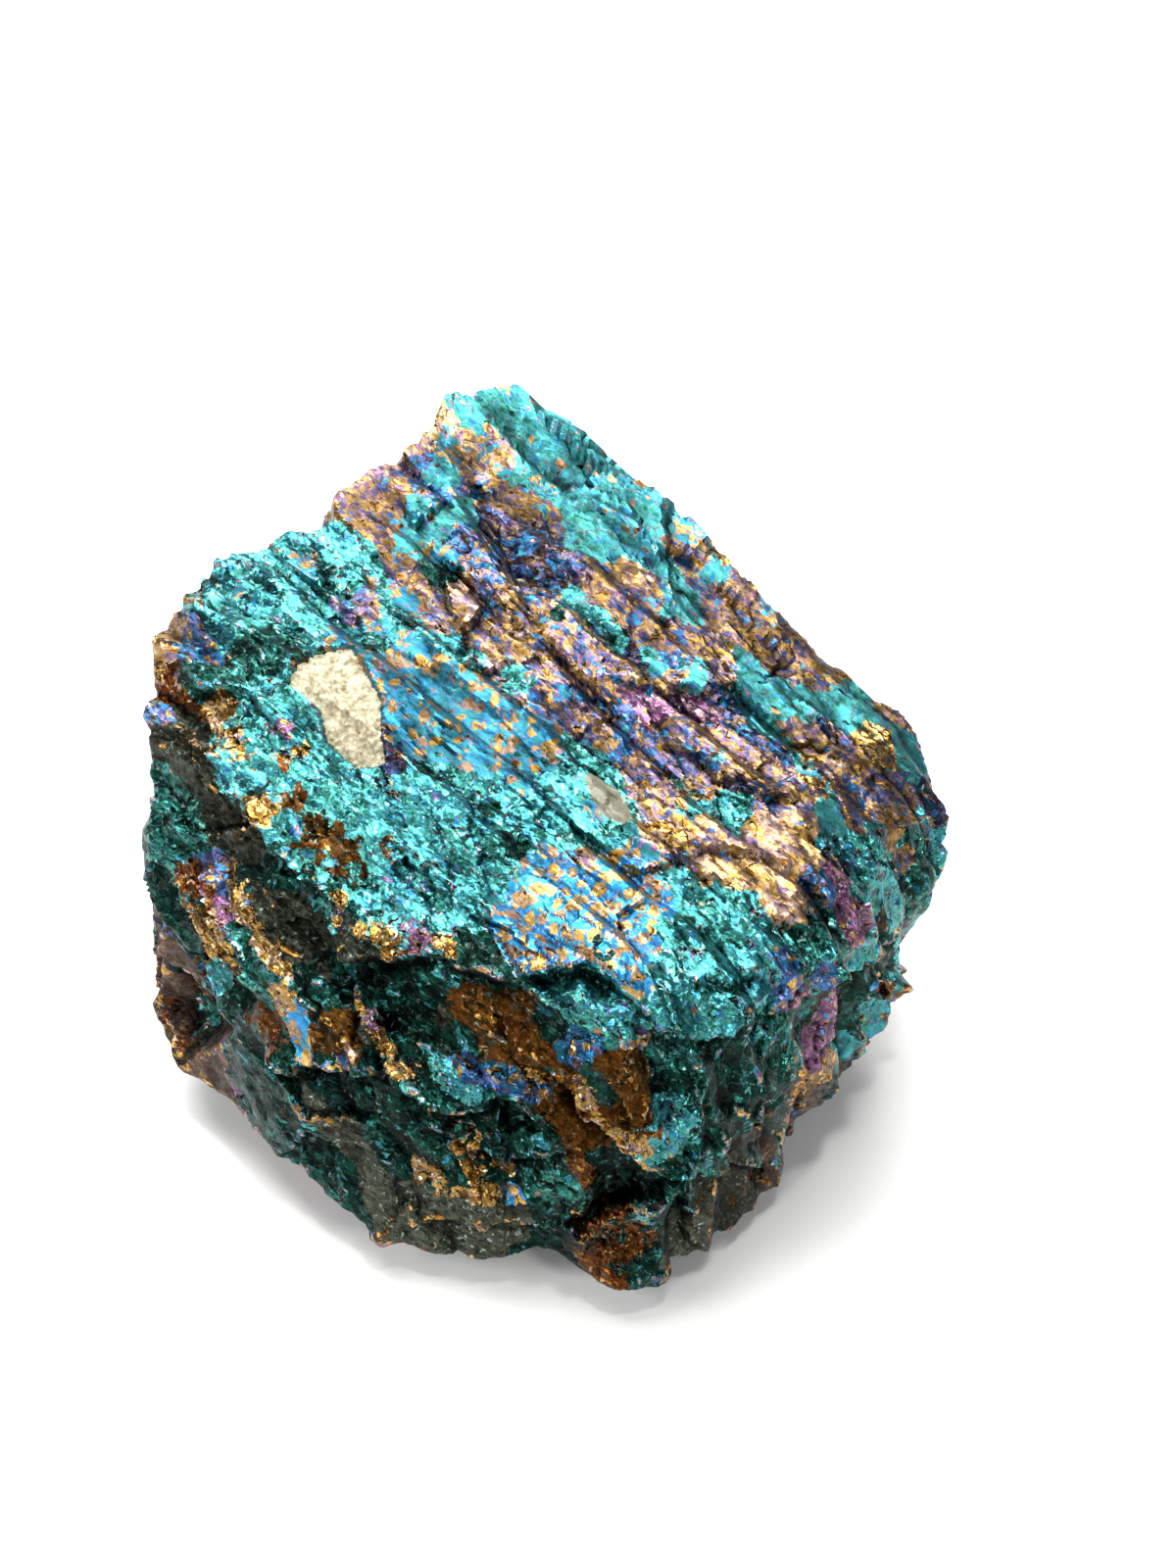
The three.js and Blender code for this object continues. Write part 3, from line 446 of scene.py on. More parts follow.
# each patch as the camera sees it, in lists by its reach: how far right of the lump's mark and how
# far above it the patch's middle appears
filmPlaces = dict(
    tealFoil={0.5: [(3.5, 12.5), (16, 2.5), (17, -0.5), (20.5, -3.5), (9, 2), (10.5, 1.5), (2.5, 5.5),
        (23, 0), (20, 0.5), (-5, 11.5), (-13, 12.5), (6, -7), (8, -2.5), (-2, 9.5), (-4.5, 11), (-14.5, 9),
        (1.5, 14), (3, 13), (4.5, 12), (6, 11.5), (8, 10.5), (12, 7), (14, 5.5), (15, 4.5), (11, 2.5),
        (10, 4.5), (7.5, -16), (8, -17.5), (7.5, -9.5), (12, -14.5), (5, -21.5), (4.5, -22), (8, -18),
        (-5, -14.5), (-6, -14), (-3.5, -18), (-1, -18), (12.5, -11.5), (17, -7), (19, -6.5), (-19.5, -8),
        (-20.5, -10), (4.5, -10.5)], 1: [(19, -2.5), (2, 4), (-9, 12.5), (-11.5, 15.5), (-18.5, 14.5),
        (-17.5, 13), (-15.5, 8), (-17, 6.5), (-17.5, 4.5), (-4.5, 3), (7, -5.5), (11.5, -7.5), (10.5, -4),
        (9, -9.5), (10.5, -10), (7.5, -17), (2.5, -9)], 1.5: [(0.5, 2.5), (-14.5, 14.5), (-14.5, 5.5),
        (-9.5, 1.5), (-7.5, -2.5), (-12.5, 1.5), (-5, -1.5), (9, -6)], 2: [(-6.5, 1.5), (-11.5, -2)]},
    tealSoft={0.5: [(-7.5, 19), (-6.5, 21.5), (-4.5, 24.5), (-8.5, 17.5), (6, 16.5), (10, 15.5), (8, 14),
        (13, 13.5), (-3, 25), (-5, 25.5), (-5, 19.5), (1.5, 14), (6, 11), (8, 9.5), (14, 8), (13, 6.5),
        (15, 4.5), (21.5, 5.5), (5.5, 16.5), (10, 15), (13, 12.5), (16.5, 1.5), (21, 5.5), (18.5, 9)],
        1: [(2, 18.5), (12.5, 9), (17, 8.5)], 1.5: [(-0.5, 24.5), (2, 22.5), (2.5, 19.5), (4.5, 19.5)]},
    spottedBlue={0.5: [(-5.5, 24), (-6.5, 23), (-4, 23), (-14.5, 16), (-18, 14), (-12.5, 12.5), (2, 2),
        (-7.5, 14.5), (6, 19), (8, 18), (-2, 3), (-10, 12.5), (4, 14), (6, 14)], 1: [(-8.5, 7), (-3.5, 5),
        (-0.5, 5), (-8.5, 11), (-6, 8)], 1.5: [(-7.5, 9.5), (-5, 6.5)]},
    azureCopper={0.5: [(0.5, -6), (2.5, -2), (5, -8), (6.5, -3.5), (6.5, -5.5), (-15, -10), (-14.5, -11.5),
        (-14, -12.5), (-2.5, -21.5), (19.5, -9)], 1: [(3.5, -6), (-1, -5), (4.5, -3.5), (5.5, -5)],
        1.5: [(-0.5, -3), (2, -4)]},
    duskBlue={0.5: [(-2, -14), (-0.5, -14.5), (-3, -14), (2, -12), (1, -13), (2.5, -23.5), (-5, -13.5)]},
    goldStreaks={0.5: [(-3.5, 23), (-8.5, 22), (2, 11), (5, 9.5), (7.5, 9.5), (10.5, 10), (6, 5), (6, 3),
        (13, 5), (14.5, 3), (17, 4), (18, 2), (20, 1), (8, 7), (3, 7), (-7.5, 15), (-6, 13), (-10, 13.5),
        (-10.5, 15)], 1: [(-1.5, 13.5), (-1.5, 11), (10.5, 4.5)], 1.5: [(0, 12)]},
    pinkGold={0.5: [(-6, 24.5), (-4.5, 23), (7.5, 0.5), (11, 0.5), (15, -0.5), (12, -1.5), (13.5, -2.5),
        (14.5, -4), (4.5, 18), (4.5, 16), (-5, 14.5), (2.5, -1.5), (12, 0), (10, -0.5), (12.5, -1.5),
        (9.5, -1.5)], 1: [(14, 0), (9, 0), (10.5, -0.5)]},
    brownMatte={0.5: [(-9.5, 18), (-10, 19), (-7.5, 23), (7.5, 12.5), (10.5, 13.5), (15, 10.5), (16, 9.5),
        (8, 17), (9.5, 14.5), (12, 14), (14, 12.5), (16, 11), (17, 9.5), (18, 9.5), (20, 8), (15, 6.5),
        (18.5, 5), (21, 2.5), (21, -1.5), (-1.5, 19.5), (0, 18.5), (-10.5, 20.5), (-9, 19.5), (-8.5, 16),
        (2.5, 9), (0.5, 8)], 1: [(4, 14.5), (5, 14), (6.5, 13), (12, 12.5), (13.5, 11.5)]},
    darkPurple={0.5: [(-9, 6.5), (-9, 5), (-2, 17.5), (1.5, 15.5), (5, 11.5), (2, 8.5), (4.5, 10),
        (10.5, 8.5), (11.5, 7), (13, 5.5), (11, 3.5), (12.5, 2.5), (17, 6.5), (17.5, -1.5), (22.5, 2.5),
        (8.5, -1), (-3.5, 14), (-8, 22)], 1: [(-0.5, 17)]},
    violetBlue={0.5: [(-3, 15), (-0.5, 14.5), (4.5, 7.5), (5, 6), (9, 5.5), (10, 0), (12, -0.5),
        (-6.5, 20.5), (-4, 17.5), (-12, 13.5), (-21, 12.5), (-20.5, 11.5), (16, -2), (16.5, -3), (7.5, 11),
        (1.5, 12.5), (-2, 16.5), (-19.5, -1.5), (-12, -13), (-19.5, -3), (-10.5, -11), (-22.5, 7),
        (-20.5, -1.5), (14.5, -9), (14, -7.5), (16.5, -8)]},
    magenta={0.5: [(-15, 6.5), (-15.5, 6), (6, 8.5), (8, 8), (9, 8), (17.5, -2.5), (18, -5.5), (6.5, 8.5),
        (8.5, 8), (5, 8), (18, -4), (18.5, -5), (-15.5, 6.5), (-10, -11), (-8, -5), (-20, -3.5), (15, -10),
        (16, -11.5), (17, -10), (16, -13)]},
    darkGreen={0.5: [(-14, 2), (-12, -2), (-13.5, 0.5), (-7.5, -1), (-3.5, 2), (0.5, 13.5), (4, 12.5),
        (-6.5, 15.5), (-2.5, 0), (-2, 0.5), (3, -6), (-10.5, -8), (-6, -11.5), (0, -11), (2.5, -14.5),
        (3, -18.5), (0, -17.5), (3.5, -15), (-23, -2.5), (-22.5, -5), (-21.5, -8), (-21.5, -5.5),
        (-18.5, -9), (-18.5, -12), (-4.5, -17.5), (7.5, -19), (-3.5, -19.5), (-18, -11.5)],
        1: [(-0.5, -18.5), (-9, -9), (-7.5, -10), (9, -14.5), (12, -18.5), (-17, -2.5), (-14, -8),
        (-8.5, -9), (-12, -20.5), (-12, -4), (8, -21), (11.5, -11.5), (19.5, -9), (13, -15.5), (-4.5, -8),
        (6, -24.5), (-0.5, -23.5), (-17.5, -13.5), (-16.5, -15.5), (-15, -17.5)], 1.5: [(-2.5, -16.5),
        (10.5, -17), (-13.5, -2.5), (-7.5, -18.5), (-12, -14.5), (2.5, -22), (4.5, -20), (10.5, -14.5)],
        2: [(-9.5, -15.5)]},
    darkTeal={0.5: [(-1.5, -18), (-19.5, 15), (-16, 15), (-13, 14.5), (-17.5, 11), (-10, 11.5),
        (-15.5, 12.5), (-20.5, 9.5), (-18.5, 9), (-16.5, 10.5), (-12, 15.5), (-8, 13), (-6.5, 4),
        (0, -13.5), (-6.5, -15.5), (5.5, -21.5), (-9, -11), (-5, -11.5)], 1: [(-22.5, 3), (-21.5, 0),
        (-17.5, -7.5), (8.5, -13), (9, -19.5), (0.5, -20.5), (14, -11.5), (16.5, -6), (21.5, -2.5),
        (11, -8)]},
    oliveWall={0.5: [(-13, -15.5), (-12, -17.5), (-10.5, -19.5), (-8.5, -21), (-17.5, -1.5), (-17, -3),
        (-16, -4), (-15, -6), (-13.5, -7.5), (-10.5, -11.5), (-6.5, -10.5), (-20, -11.5), (-2, -22),
        (-17, -14.5), (-15.5, -16.5)], 1: [(-18.5, 0), (-15.5, -5), (-12, -7), (-7.5, -21.5), (-22, 5),
        (10.5, -21.5)], 1.5: [(11.5, -18.5)]},
    greyFibre={0.5: [(-12, -16.5), (-11, -18.5), (-10, -20), (-1.5, -23.5), (-13.5, -15), (-13, -16),
        (7, -24.5)], 1: [(-6, -22.5), (-3.5, -23), (-9, -21.5), (-7.5, -22), (-4.5, -23), (8, -23.5)]},
    amber={0.5: [(-9.5, -1), (-14.5, 2.5), (-4.5, -10), (-0.5, -12.5), (0.5, -14), (1, -15.5), (2, -19),
        (2.5, -20.5), (4.5, -14), (4, -16), (6, -17), (-11.5, -10)], 1: [(-13, 0.5), (-12.5, -0.5),
        (-12.5, 0), (-3.5, -11), (-2, -11.5), (2, -17), (5.5, -15.5), (-12.5, -11)]},
    gold={0.5: [(-19, 8), (-18, 6), (-18, 5), (-17, 2), (-15, 5), (-15, 5.5), (19, 6), (15.5, 3), (7, 0.5),
        (-19, -2), (-18.5, -3.5), (-17.5, -5), (-17, -6.5), (-16.5, -7.5), (-16, -9), (-20, -5.5),
        (-19.5, -6), (-12.5, -3.5), (-11.5, -4.5), (-9.5, -5.5), (-6.5, -6), (-11, -10), (-9.5, -11.5),
        (-8.5, -13), (-5.5, -16.5), (-5.5, -18), (-4, -19), (-7, -19.5), (-6.5, -20.5), (2, -15), (5, -18),
        (-1, -14), (15.5, -14), (16.5, -13.5), (-3.5, -21)]},
    mauveBrown={0.5: [(-22.5, -11.5), (-21, -14), (-22.5, -8), (-21.5, -13), (-20.5, -14.5),
        (-19.5, -14.5), (-21.5, -7), (13, -18)], 1: [(-22, -10), (-22, -8.5), (-20.5, -13)]},
    redBrown={0.5: [(-15.5, 5), (-20, -4), (2, -18), (2, -19.5), (2.5, -20.5), (-21, -2), (-22, -10),
        (-21.5, -11.5)], 1: [(2.5, -23.5), (3.5, -24.5), (4.5, -23), (3.5, -23)]},
)


# directions of the camera's view as rows: right, up, and back to the camera
def viewRows():
    raised = np.radians(view["elevation"])
    return np.array([[1, 0, 0], [0, np.sin(raised), np.cos(raised)], [0, -np.cos(raised), np.sin(raised)]])


def cameraPlace():
    return np.array([view["aside"], view["above"], view["distance"]])@viewRows()


# the point of the surface that the camera sees a patch on: the nearest one to the camera that
# lies close to the patch's line of sight
def patchPlace(points, across, up):
    right, above, back = viewRows()
    eye = cameraPlace()
    sight = unit(right*across+above*up-eye)
    away = (points-eye)@sight
    aside = np.linalg.norm(points-eye-away[:, None]*sight, axis=-1)
    return points[np.argmin(away+1000*np.maximum(aside-view["sightWidth"], 0))]


# each kind's weight at a point is the logarithm of a sum over its patches that falls off with
# the square of the distance, measured in the layers' own directions; beyond the patches, noise
# gives each kind some ground of its own
def filmFields(points, normal):
    form = filmGround
    shift = np.stack([softNoise(points/form["wanderSize"], seed) for seed in (61, 62, 63)], -1)
    place = (points+form["wander"]*shift)@layers.T
    facesUp = easeBetween(normal[:, 2], *form["facesUp"])
    fields = {}
    for number, (kind, settings) in enumerate(filmKinds.items()):
        total = np.zeros(len(points))
        for reach, places in filmPlaces.get(kind, {}).items():
            for across, up in places:
                away = place-layers@patchPlace(points, across, up)
                away[:, 0] /= settings["stretch"]
                total += np.exp(-(away**2).sum(-1)/(reach*form["fallOff"])**2)
        wild = np.maximum(softNoise(place/form["wildSize"], 80+number), 0)**2
        down, up = wildShares.get(kind, (0.4, 0.4))
        share = down+(up-down)*facesUp
        fields[kind] = np.log(total+form["wildWeight"]*share*wild+form["least"])
    return fields


def srgb(code):
    value = np.array([int(code[n:n+2], 16) for n in (1, 3, 5)])/255
    return tuple(np.where(value <= 0.04045, value/12.92, ((value+0.055)/1.055)**2.4))+(1,)


# a new material and the function that adds a node to it: settings are the node's properties, and
# each input is a number, a vector, a socket, or a node whose first output feeds it
def newMaterial(name):
    material = bpy.data.materials.new(name)
    material.use_nodes = True
    tree = material.node_tree
    tree.nodes.clear()

    def add(kind, settings, inputs):
        node = tree.nodes.new("ShaderNode"+kind)
        for key, value in settings.items():
            setattr(node, key, value)
        for socket, value in inputs.items() if isinstance(inputs, dict) else enumerate(inputs):
            if isinstance(value, bpy.types.Node):
                value = value.outputs[0]
            if isinstance(value, bpy.types.NodeSocket):
                tree.links.new(value, node.inputs[socket])
            else:
                node.inputs[socket].default_value = value
        return node

    return material, add


# gives a colour ramp its stops, each a position and a colour
def setStops(ramp, stops):
    elements = ramp.color_ramp.elements
    while len(elements) < len(stops):
        elements.new(0.5)
    for element, (position, code) in zip(elements, stops):
        element.position = position
        element.color = srgb(code)


# settings of the arithmetic nodes
plus, minus, times, over, larger, smaller, above, below, power, absolute, scale, dot, unitLength = (
    dict(operation=name) for name in (
        "ADD", "SUBTRACT", "MULTIPLY", "DIVIDE", "MAXIMUM", "MINIMUM", "GREATER_THAN", "LESS_THAN",
        "POWER", "ABSOLUTE", "SCALE", "DOT_PRODUCT", "NORMALIZE"))
timesPlus = dict(operation="MULTIPLY_ADD")    # the first times the second, plus the third
eased = dict(interpolation_type="SMOOTHSTEP")

# the order of the film's colours, from bare metal to the thickest film
filmColours = [
    (0.00, "#464A3E"), (0.035, "#2A2A1C"), (0.065, "#6E4718"), (0.10, "#743C24"),
    (0.13, "#A27430"), (0.19, "#CBA04E"), (0.25, "#BE9A68"), (0.30, "#B08C74"),
    (0.36, "#887A7C"), (0.375, "#84707E"), (0.388, "#A0588A"), (0.40, "#7C6288"),
    (0.44, "#646A98"), (0.49, "#4C72AC"), (0.54, "#3E84C0"), (0.58, "#389CD4"),
    (0.62, "#3E90B0"), (0.66, "#4596A6"), (0.71, "#4AA6AE"), (0.77, "#56B2A6"),
    (0.84, "#3F9082"), (0.89, "#275F54"), (0.94, "#1D463B"), (1.00, "#182A24"),
]

# the film's grain: sizes in millimetres along the streaks, through the layers and up, and how
# far each part of it tilts the surface, as a share of its normal
filmGrain = dict(
    slabs=(1.25, 0.6, 0.7), slabTilt=0.7,      # large facets
    facets=(0.55, 0.25, 0.3), facetTilt=0.78,  # small facets
    spots=(0.78, 0.78, 0.78),
    wrinkleTilt=0.3, fibreTilt=0.05,
    bendReach=0.16, borderReach=0.95,
)
# its noises: their sizes in the same order, their detail and their roughness
filmNoises = dict(
    bend=((1.7, 1.7, 1.7), 3, 0.6),            # a slow wander of all the others
    borders=((1, 1, 1), 5, 0.6),               # ragged borders between the kinds
    wrinkles=((0.38, 0.34, 0.35), 3, 0.6),
    fibres=((0.83, 0.155, 0.18), 2, 0.6),
    blotches=((2.85, 2.2, 2.2), 6, 0.75),
    streaks=((1.4, 0.53, 0.59), 4, 0.65),
)


# how the grain changes the film: the facets' share in a blotch, the slabs' in a streak, and what
# a fibre adds to the thickness
filmWander = dict(facets=2.4, slabs=2, fibres=0.012)
# spots: radius and rim are shares of a cell
filmSpots = dict(
    randomness=0.95, radius=0.16, radiusByShare=0.22, ownRadius=0.22, ragged=0.015, rim=0.04,
    film=0.19, ownFilm=0.12, fibreFilm=0.02,
)
filmFlecks = dict(facetsPast=0.43, filmPast=0.03, film=0.5, glow=0.1)
filmCracks = dict(
    wander=0.11, ragged=0.03, fewer=0.05, rim=0.05, fade=0.1, film=0.03, dark=1.4, darkest=0.9,
)
# crest wear: its film is a wear colour, its glow a painted highlight on the crests
filmWearAndHighlight = dict(crest=(-0.12, -0.03), patchy=(0.6, 1.6), film=0.24, ownFilm=0.3, glow=0.9)
# how bright each part of the grain makes the film: painted light and shade of the facets, painted
# shade in creases, hollows and valleys, and painted glints and crest highlights
filmShade = dict(
    middle=0.82, least=0.02, most=1.35,
    # painted light and shade of single facets and slabs
    facetPower=3, facets=0.9, slabs=0.6,
    fibres=0.34, fibresByGlow=-0.27, fibresOnBare=0.175, bareByFilm=-3.5,
    # painted shade in the creases and painted glints on the foil
    crinkle=1.6, paintedCreaseShade=0.9, creaseWidth=0.38, betweenCreases=1.15, paintedGlint=(0.7, 1.9), paleGlint=0.9,
    # painted shade in hollows and valleys, and a painted highlight on crests
    hollow=(-0.02, 0.12, 1, 0.35), valley=(0, 0.5, 1, 0.45),
    crestHighlight=(0.1, 1.3, 0.3, 2.6), crestHighlightByGlow=1.1,
    # the colour that painted glints whiten towards
    paintedGlintColour="#CFEDE6", lensColour="#74725F", lensRim=0.05,
    roughness=0.54, roughnessByFoil=-0.36, roughnessOwn=0.15,
)


# bornite and chalcopyrite under a thin tarnish film: metal-bright, its colour set by the film's
# thickness through the order of interference colours, broken into small crumpled facets, with
# painted shade and painted highlights worked into the colour
def tarnishFilm():
    material, add = newMaterial("tarnish_film")
    grain, look = filmGrain, filmShade

    # noise of mean 0 and spread of about 1: its "Fac" is one such noise, its "Color" three
    def evenNoise(name, source, output):
        size, detail, roughness = filmNoises[name]
        place = add("VectorMath", over, (source, size))
        noise = add("TexNoise", {}, {"Vector": place, "Scale": 1, "Detail": detail, "Roughness": roughness})
        return add("VectorMath", timesPlus, (noise.outputs[output], (8, 8, 8), (-4, -4, -4)))

    place = add("TexCoord", {}, ()).outputs["Object"]
    turn = (0, 0, np.radians(lump["layerTurn"]))
    turned = add("Mapping", {}, {"Vector": place, "Rotation": turn, "Scale": (1/mm, 1/mm, 1/mm)})
    bend = evenNoise("bend", turned, "Color")
    bent = add("VectorMath", timesPlus, (bend, (grain["bendReach"],)*3, turned))

    # at each point the kind with the highest weight wins; the same three noises, mixed in another
    # share for each kind, make their borders ragged
    ragged = evenNoise("borders", bent, "Color")
    best, thickness, manner = -100, (0, 0, 0), (0, 0, 0)
    for number, (kind, settings) in enumerate(filmKinds.items()):
        share = tuple(2*scatter(np.array([number, axis, 7]), 3)-1 for axis in range(3))
        pull = add("VectorMath", dot, (ragged, share)).outputs["Value"]
        own = add("Attribute", dict(attribute_name=kind), ()).outputs["Fac"]
        weight = add("Math", timesPlus, (pull, grain["borderReach"], own))
        wins = add("Math", above, (weight, best))
        best = add("Math", larger, (weight, best))
        ownThickness = (settings["film"], settings["spread"], settings["streaks"])
        ownManner = (settings["spots"], settings["glow"], settings["foil"])
        pick = dict(data_type="VECTOR")
        thickness = add("Mix", pick, {0: wins, 4: thickness, 5: ownThickness}).outputs[1]
        manner = add("Mix", pick, {0: wins, 4: manner, 5: ownManner}).outputs[1]
    base, spread, streaks = add("SeparateXYZ", {}, (thickness,)).outputs
    spots, glow, foil = add("SeparateXYZ", {}, (manner,)).outputs

    # crumpled foil: two sizes of facet, long along the streaks, each with a tilt, a shade and a
    # film thickness of its own, under finer fibres and wrinkles
    facetPlace = add("VectorMath", over, (bent, grain["facets"]))
    slabPlace = add("VectorMath", over, (bent, grain["slabs"]))
    facets = add("TexVoronoi", {}, {"Vector": facetPlace, "Scale": 1})
    slabs = add("TexVoronoi", {}, {"Vector": slabPlace, "Scale": 1})
    edges = add("TexVoronoi", dict(feature="DISTANCE_TO_EDGE"), {"Vector": slabPlace, "Scale": 1})
    facetTilt = add("VectorMath", minus, (facets.outputs["Color"], (0.5, 0.5, 0.5)))
    slabTilt = add("VectorMath", minus, (slabs.outputs["Color"], (0.5, 0.5, 0.5)))
    fibres = evenNoise("fibres", bent, "Color")
    wrinkles = evenNoise("wrinkles", bent, "Color")
    facetX, facetY, facetZ = add("SeparateXYZ", {}, (facetTilt,)).outputs
    slabX, slabY, slabZ = add("SeparateXYZ", {}, (slabTilt,)).outputs
    fibreX, fibreY, fibreZ = add("SeparateXYZ", {}, (fibres,)).outputs
    wrinkleX, wrinkleY, wrinkleZ = add("SeparateXYZ", {}, (wrinkles,)).outputs

    # the film is thicker and thinner in blotches and along the streaks
    blotches = evenNoise("blotches", bent, "Fac")
    blotches = add("Math", timesPlus, (facetX, filmWander["facets"], blotches))
    streakNoise = evenNoise("streaks", bent, "Fac")
    streakNoise = add("Math", timesPlus, (slabX, filmWander["slabs"], streakNoise))
    film = add("Math", timesPlus, (blotches, spread, base))
    film = add("Math", timesPlus, (streakNoise, streaks, film))
    film = add("Math", timesPlus, (fibreX, filmWander["fibres"], film))

    # round spots where the film is thin, each with its own size and film
    form = filmSpots
    spotPlace = add("VectorMath", over, (bent, grain["spots"]))
    inputs = {"Vector": spotPlace, "Scale": 1, "Randomness": form["randomness"]}
    spotCells = add("TexVoronoi", {}, inputs)
    spotX, spotY, spotZ = add("SeparateXYZ", {}, (spotCells.outputs["Color"],)).outputs
    radius = add("Math", timesPlus, (spots, form["radiusByShare"], form["radius"]))
    radius = add("Math", timesPlus, (spotX, form["ownRadius"], radius))
    radius = add("Math", timesPlus, (fibreX, form["ragged"], radius))
    fromEdge = add("Math", minus, (radius, spotCells.outputs["Distance"]))
    inSpot = add("MapRange", eased, (fromEdge, 0, form["rim"], 0, 1))
    inSpot = add("Math", times, (inSpot, add("Math", below, (spotY, spots))))
    spotFilm = add("Math", timesPlus, (fibreY, form["fibreFilm"], form["film"]))
    spotFilm = add("Math", timesPlus, (spotZ, form["ownFilm"], spotFilm))
    film = add("MapRange", {}, (inSpot, 0, 1, film, spotFilm))

    # a few facets have another film of their own, except on bare metal
    form = filmFlecks
    isFleck = add("Math", above, (facetY, form["facetsPast"]))
    isFleck = add("Math", times, (isFleck, add("Math", above, (base, form["filmPast"]))))
    film = add("Math", timesPlus, (add("Math", times, (isFleck, facetX)), form["film"], film))
    glow = add("Math", timesPlus, (isFleck, form["glow"], glow))

    # here and there the cracks between the slabs show dark bare metal; further down they are also
    # painted darker, as shade in the creases
    form = filmCracks
    raggedX = add("SeparateXYZ", {}, (ragged,)).outputs[0]
    crackNoise = add("Math", times, (wrinkleX, form["ragged"]))
    crackNoise = add("Math", timesPlus, (raggedX, form["wander"], crackNoise))
    crackWidth = add("Math", times, (add("Math", minus, (crackNoise, form["fewer"])), foil))
    fromCrack = add("Math", minus, (edges.outputs["Distance"], crackWidth))
    inCrack = add("MapRange", eased, (fromCrack, 0, form["rim"], 1, 0))
    isCracked = add("MapRange", eased, (crackNoise, 0, form["fade"], 0, 1))
    inCrack = add("Math", times, (inCrack, isCracked))
    film = add("MapRange", {}, (inCrack, 0, 1, film, form["film"]))

    # the film is worn thin on crests, in places, and there the colour is also made brighter as a
    # painted highlight along the edges
    hollow, valley, pale = (add("Attribute", dict(attribute_name=name), ()).outputs["Fac"]
                            for name in ("hollow", "valley", "pale"))
    form = filmWearAndHighlight
    onCrest = add("MapRange", eased, (hollow, *form["crest"], 1, 0))
    patchy = add("Math", plus, (blotches, streakNoise))
    patchy = add("MapRange", eased, (patchy, *form["patchy"], 0, 1))
    crestWearAndHighlight = add("Math", times, (onCrest, patchy))
    wornFilm = add("Math", timesPlus, (slabY, form["ownFilm"], form["film"]))
    film = add("MapRange", {}, (crestWearAndHighlight, 0, 1, film, wornFilm))
    glow = add("Math", larger, (glow, add("Math", times, (crestWearAndHighlight, form["glow"]))))
    ramp = add("ValToRGB", {}, (film,))
    setStops(ramp, filmColours)

    # painted light and shade of the facets and slabs: a few facets are painted bright and most dark,
    # as if only some caught the light, and dull or bare film shows its fibres
    paintedFacetLight = add("Math", power, (add("Math", plus, (facetZ, 0.5)), look["facetPower"]))
    facetMean = look["facets"]/(look["facetPower"]+1)
    shade = add("Math", timesPlus, (paintedFacetLight, look["facets"], -facetMean))
    shade = add("Math", timesPlus, (slabZ, look["slabs"], shade))
    dull = add("Math", timesPlus, (glow, look["fibresByGlow"], look["fibres"]))
    bare = add("Math", timesPlus, (base, look["bareByFilm"], look["fibresOnBare"]))
    bare = add("Math", larger, (bare, 0))
    fibreShade = add("Math", times, (fibreZ, add("Math", plus, (dull, bare))))
    shade = add("Math", timesPlus, (shade, foil, fibreShade))
    shade = add("Math", plus, (shade, look["middle"]))

    # painted shade and highlights on the foil: thin dark creases are painted where one of the
    # wrinkles' noises passes zero, and painted glints where another is high
    crinkled = add("Math", smaller, (add("Math", times, (foil, look["crinkle"])), 1))
    fromCrease = add("Math", absolute, (wrinkleY,))
    paintedCreaseShade = add("MapRange", eased, (fromCrease, 0, look["creaseWidth"], look["paintedCreaseShade"], 0))
    paintedCreaseShade = add("Math", times, (paintedCreaseShade, crinkled))
    shade = add("Math", times, (shade, add("Math", minus, (look["betweenCreases"], paintedCreaseShade))))
    paintedGlint = add("MapRange", eased, (wrinkleZ, *look["paintedGlint"], 0, 1))
    paintedGlint = add("Math", times, (paintedGlint, crinkled))
    shade = add("Math", plus, (shade, paintedGlint))

    # painted shade darkens the cracks, hollows and valleys, and a painted highlight makes crests sparkle
    # where the film is dull
    # painted shade in the cracks
    crackShadeDepth = add("Math", times, (foil, filmCracks["dark"]))
    crackShadeDepth = add("Math", smaller, (crackShadeDepth, filmCracks["darkest"]))
    paintedCrackShade = add("Math", minus, (1, add("Math", times, (inCrack, crackShadeDepth))))
    hollowShade = add("MapRange", {}, (hollow, *look["hollow"]))
    valleyShade = add("MapRange", {}, (valley, *look["valley"]))
    # painted highlight on the crests, stronger where the glow is low
    crestHighlight = add("MapRange", eased, (fibreY, *look["crestHighlight"]))
    crestHighlight = add("Math", times, (crestHighlight, add("Math", minus, (look["crestHighlightByGlow"], glow))))
    crest = add("Math", timesPlus, (onCrest, crestHighlight, 1))
    # glow, partly painted shade, and the painted crack, crest, hollow and valley light and shade
    for part in (glow, paintedCrackShade, crest, hollowShade, valleyShade):
        shade = add("Math", times, (shade, part))
    shade = add("Math", smaller, (add("Math", larger, (shade, look["least"])), look["most"]))
    colour = add("VectorMath", scale, {0: ramp, "Scale": shade})
    # painted glints whiten the colour
    paintedGlintShare = add("Math", times, (add("Math", power, (glow, 2)), look["paleGlint"]))
    paintedGlintShare = add("Math", times, (paintedGlint, paintedGlintShare))
    tint = dict(data_type="RGBA")
    colour = add("Mix", tint, {0: paintedGlintShare, 6: colour, 7: srgb(look["paintedGlintColour"])}).outputs[2]

    # a pale lens of quartz lies flush with the film
    rim = look["lensRim"]
    paleEdge = add("Math", timesPlus, (fibreX, rim, pale))
    isPale = add("MapRange", eased, (paleEdge, -rim, rim, 0, 1))
    colour = add("Mix", tint, {0: isPale, 6: colour, 7: srgb(look["lensColour"])}).outputs[2]
    metallic = add("Math", minus, (1, isPale))

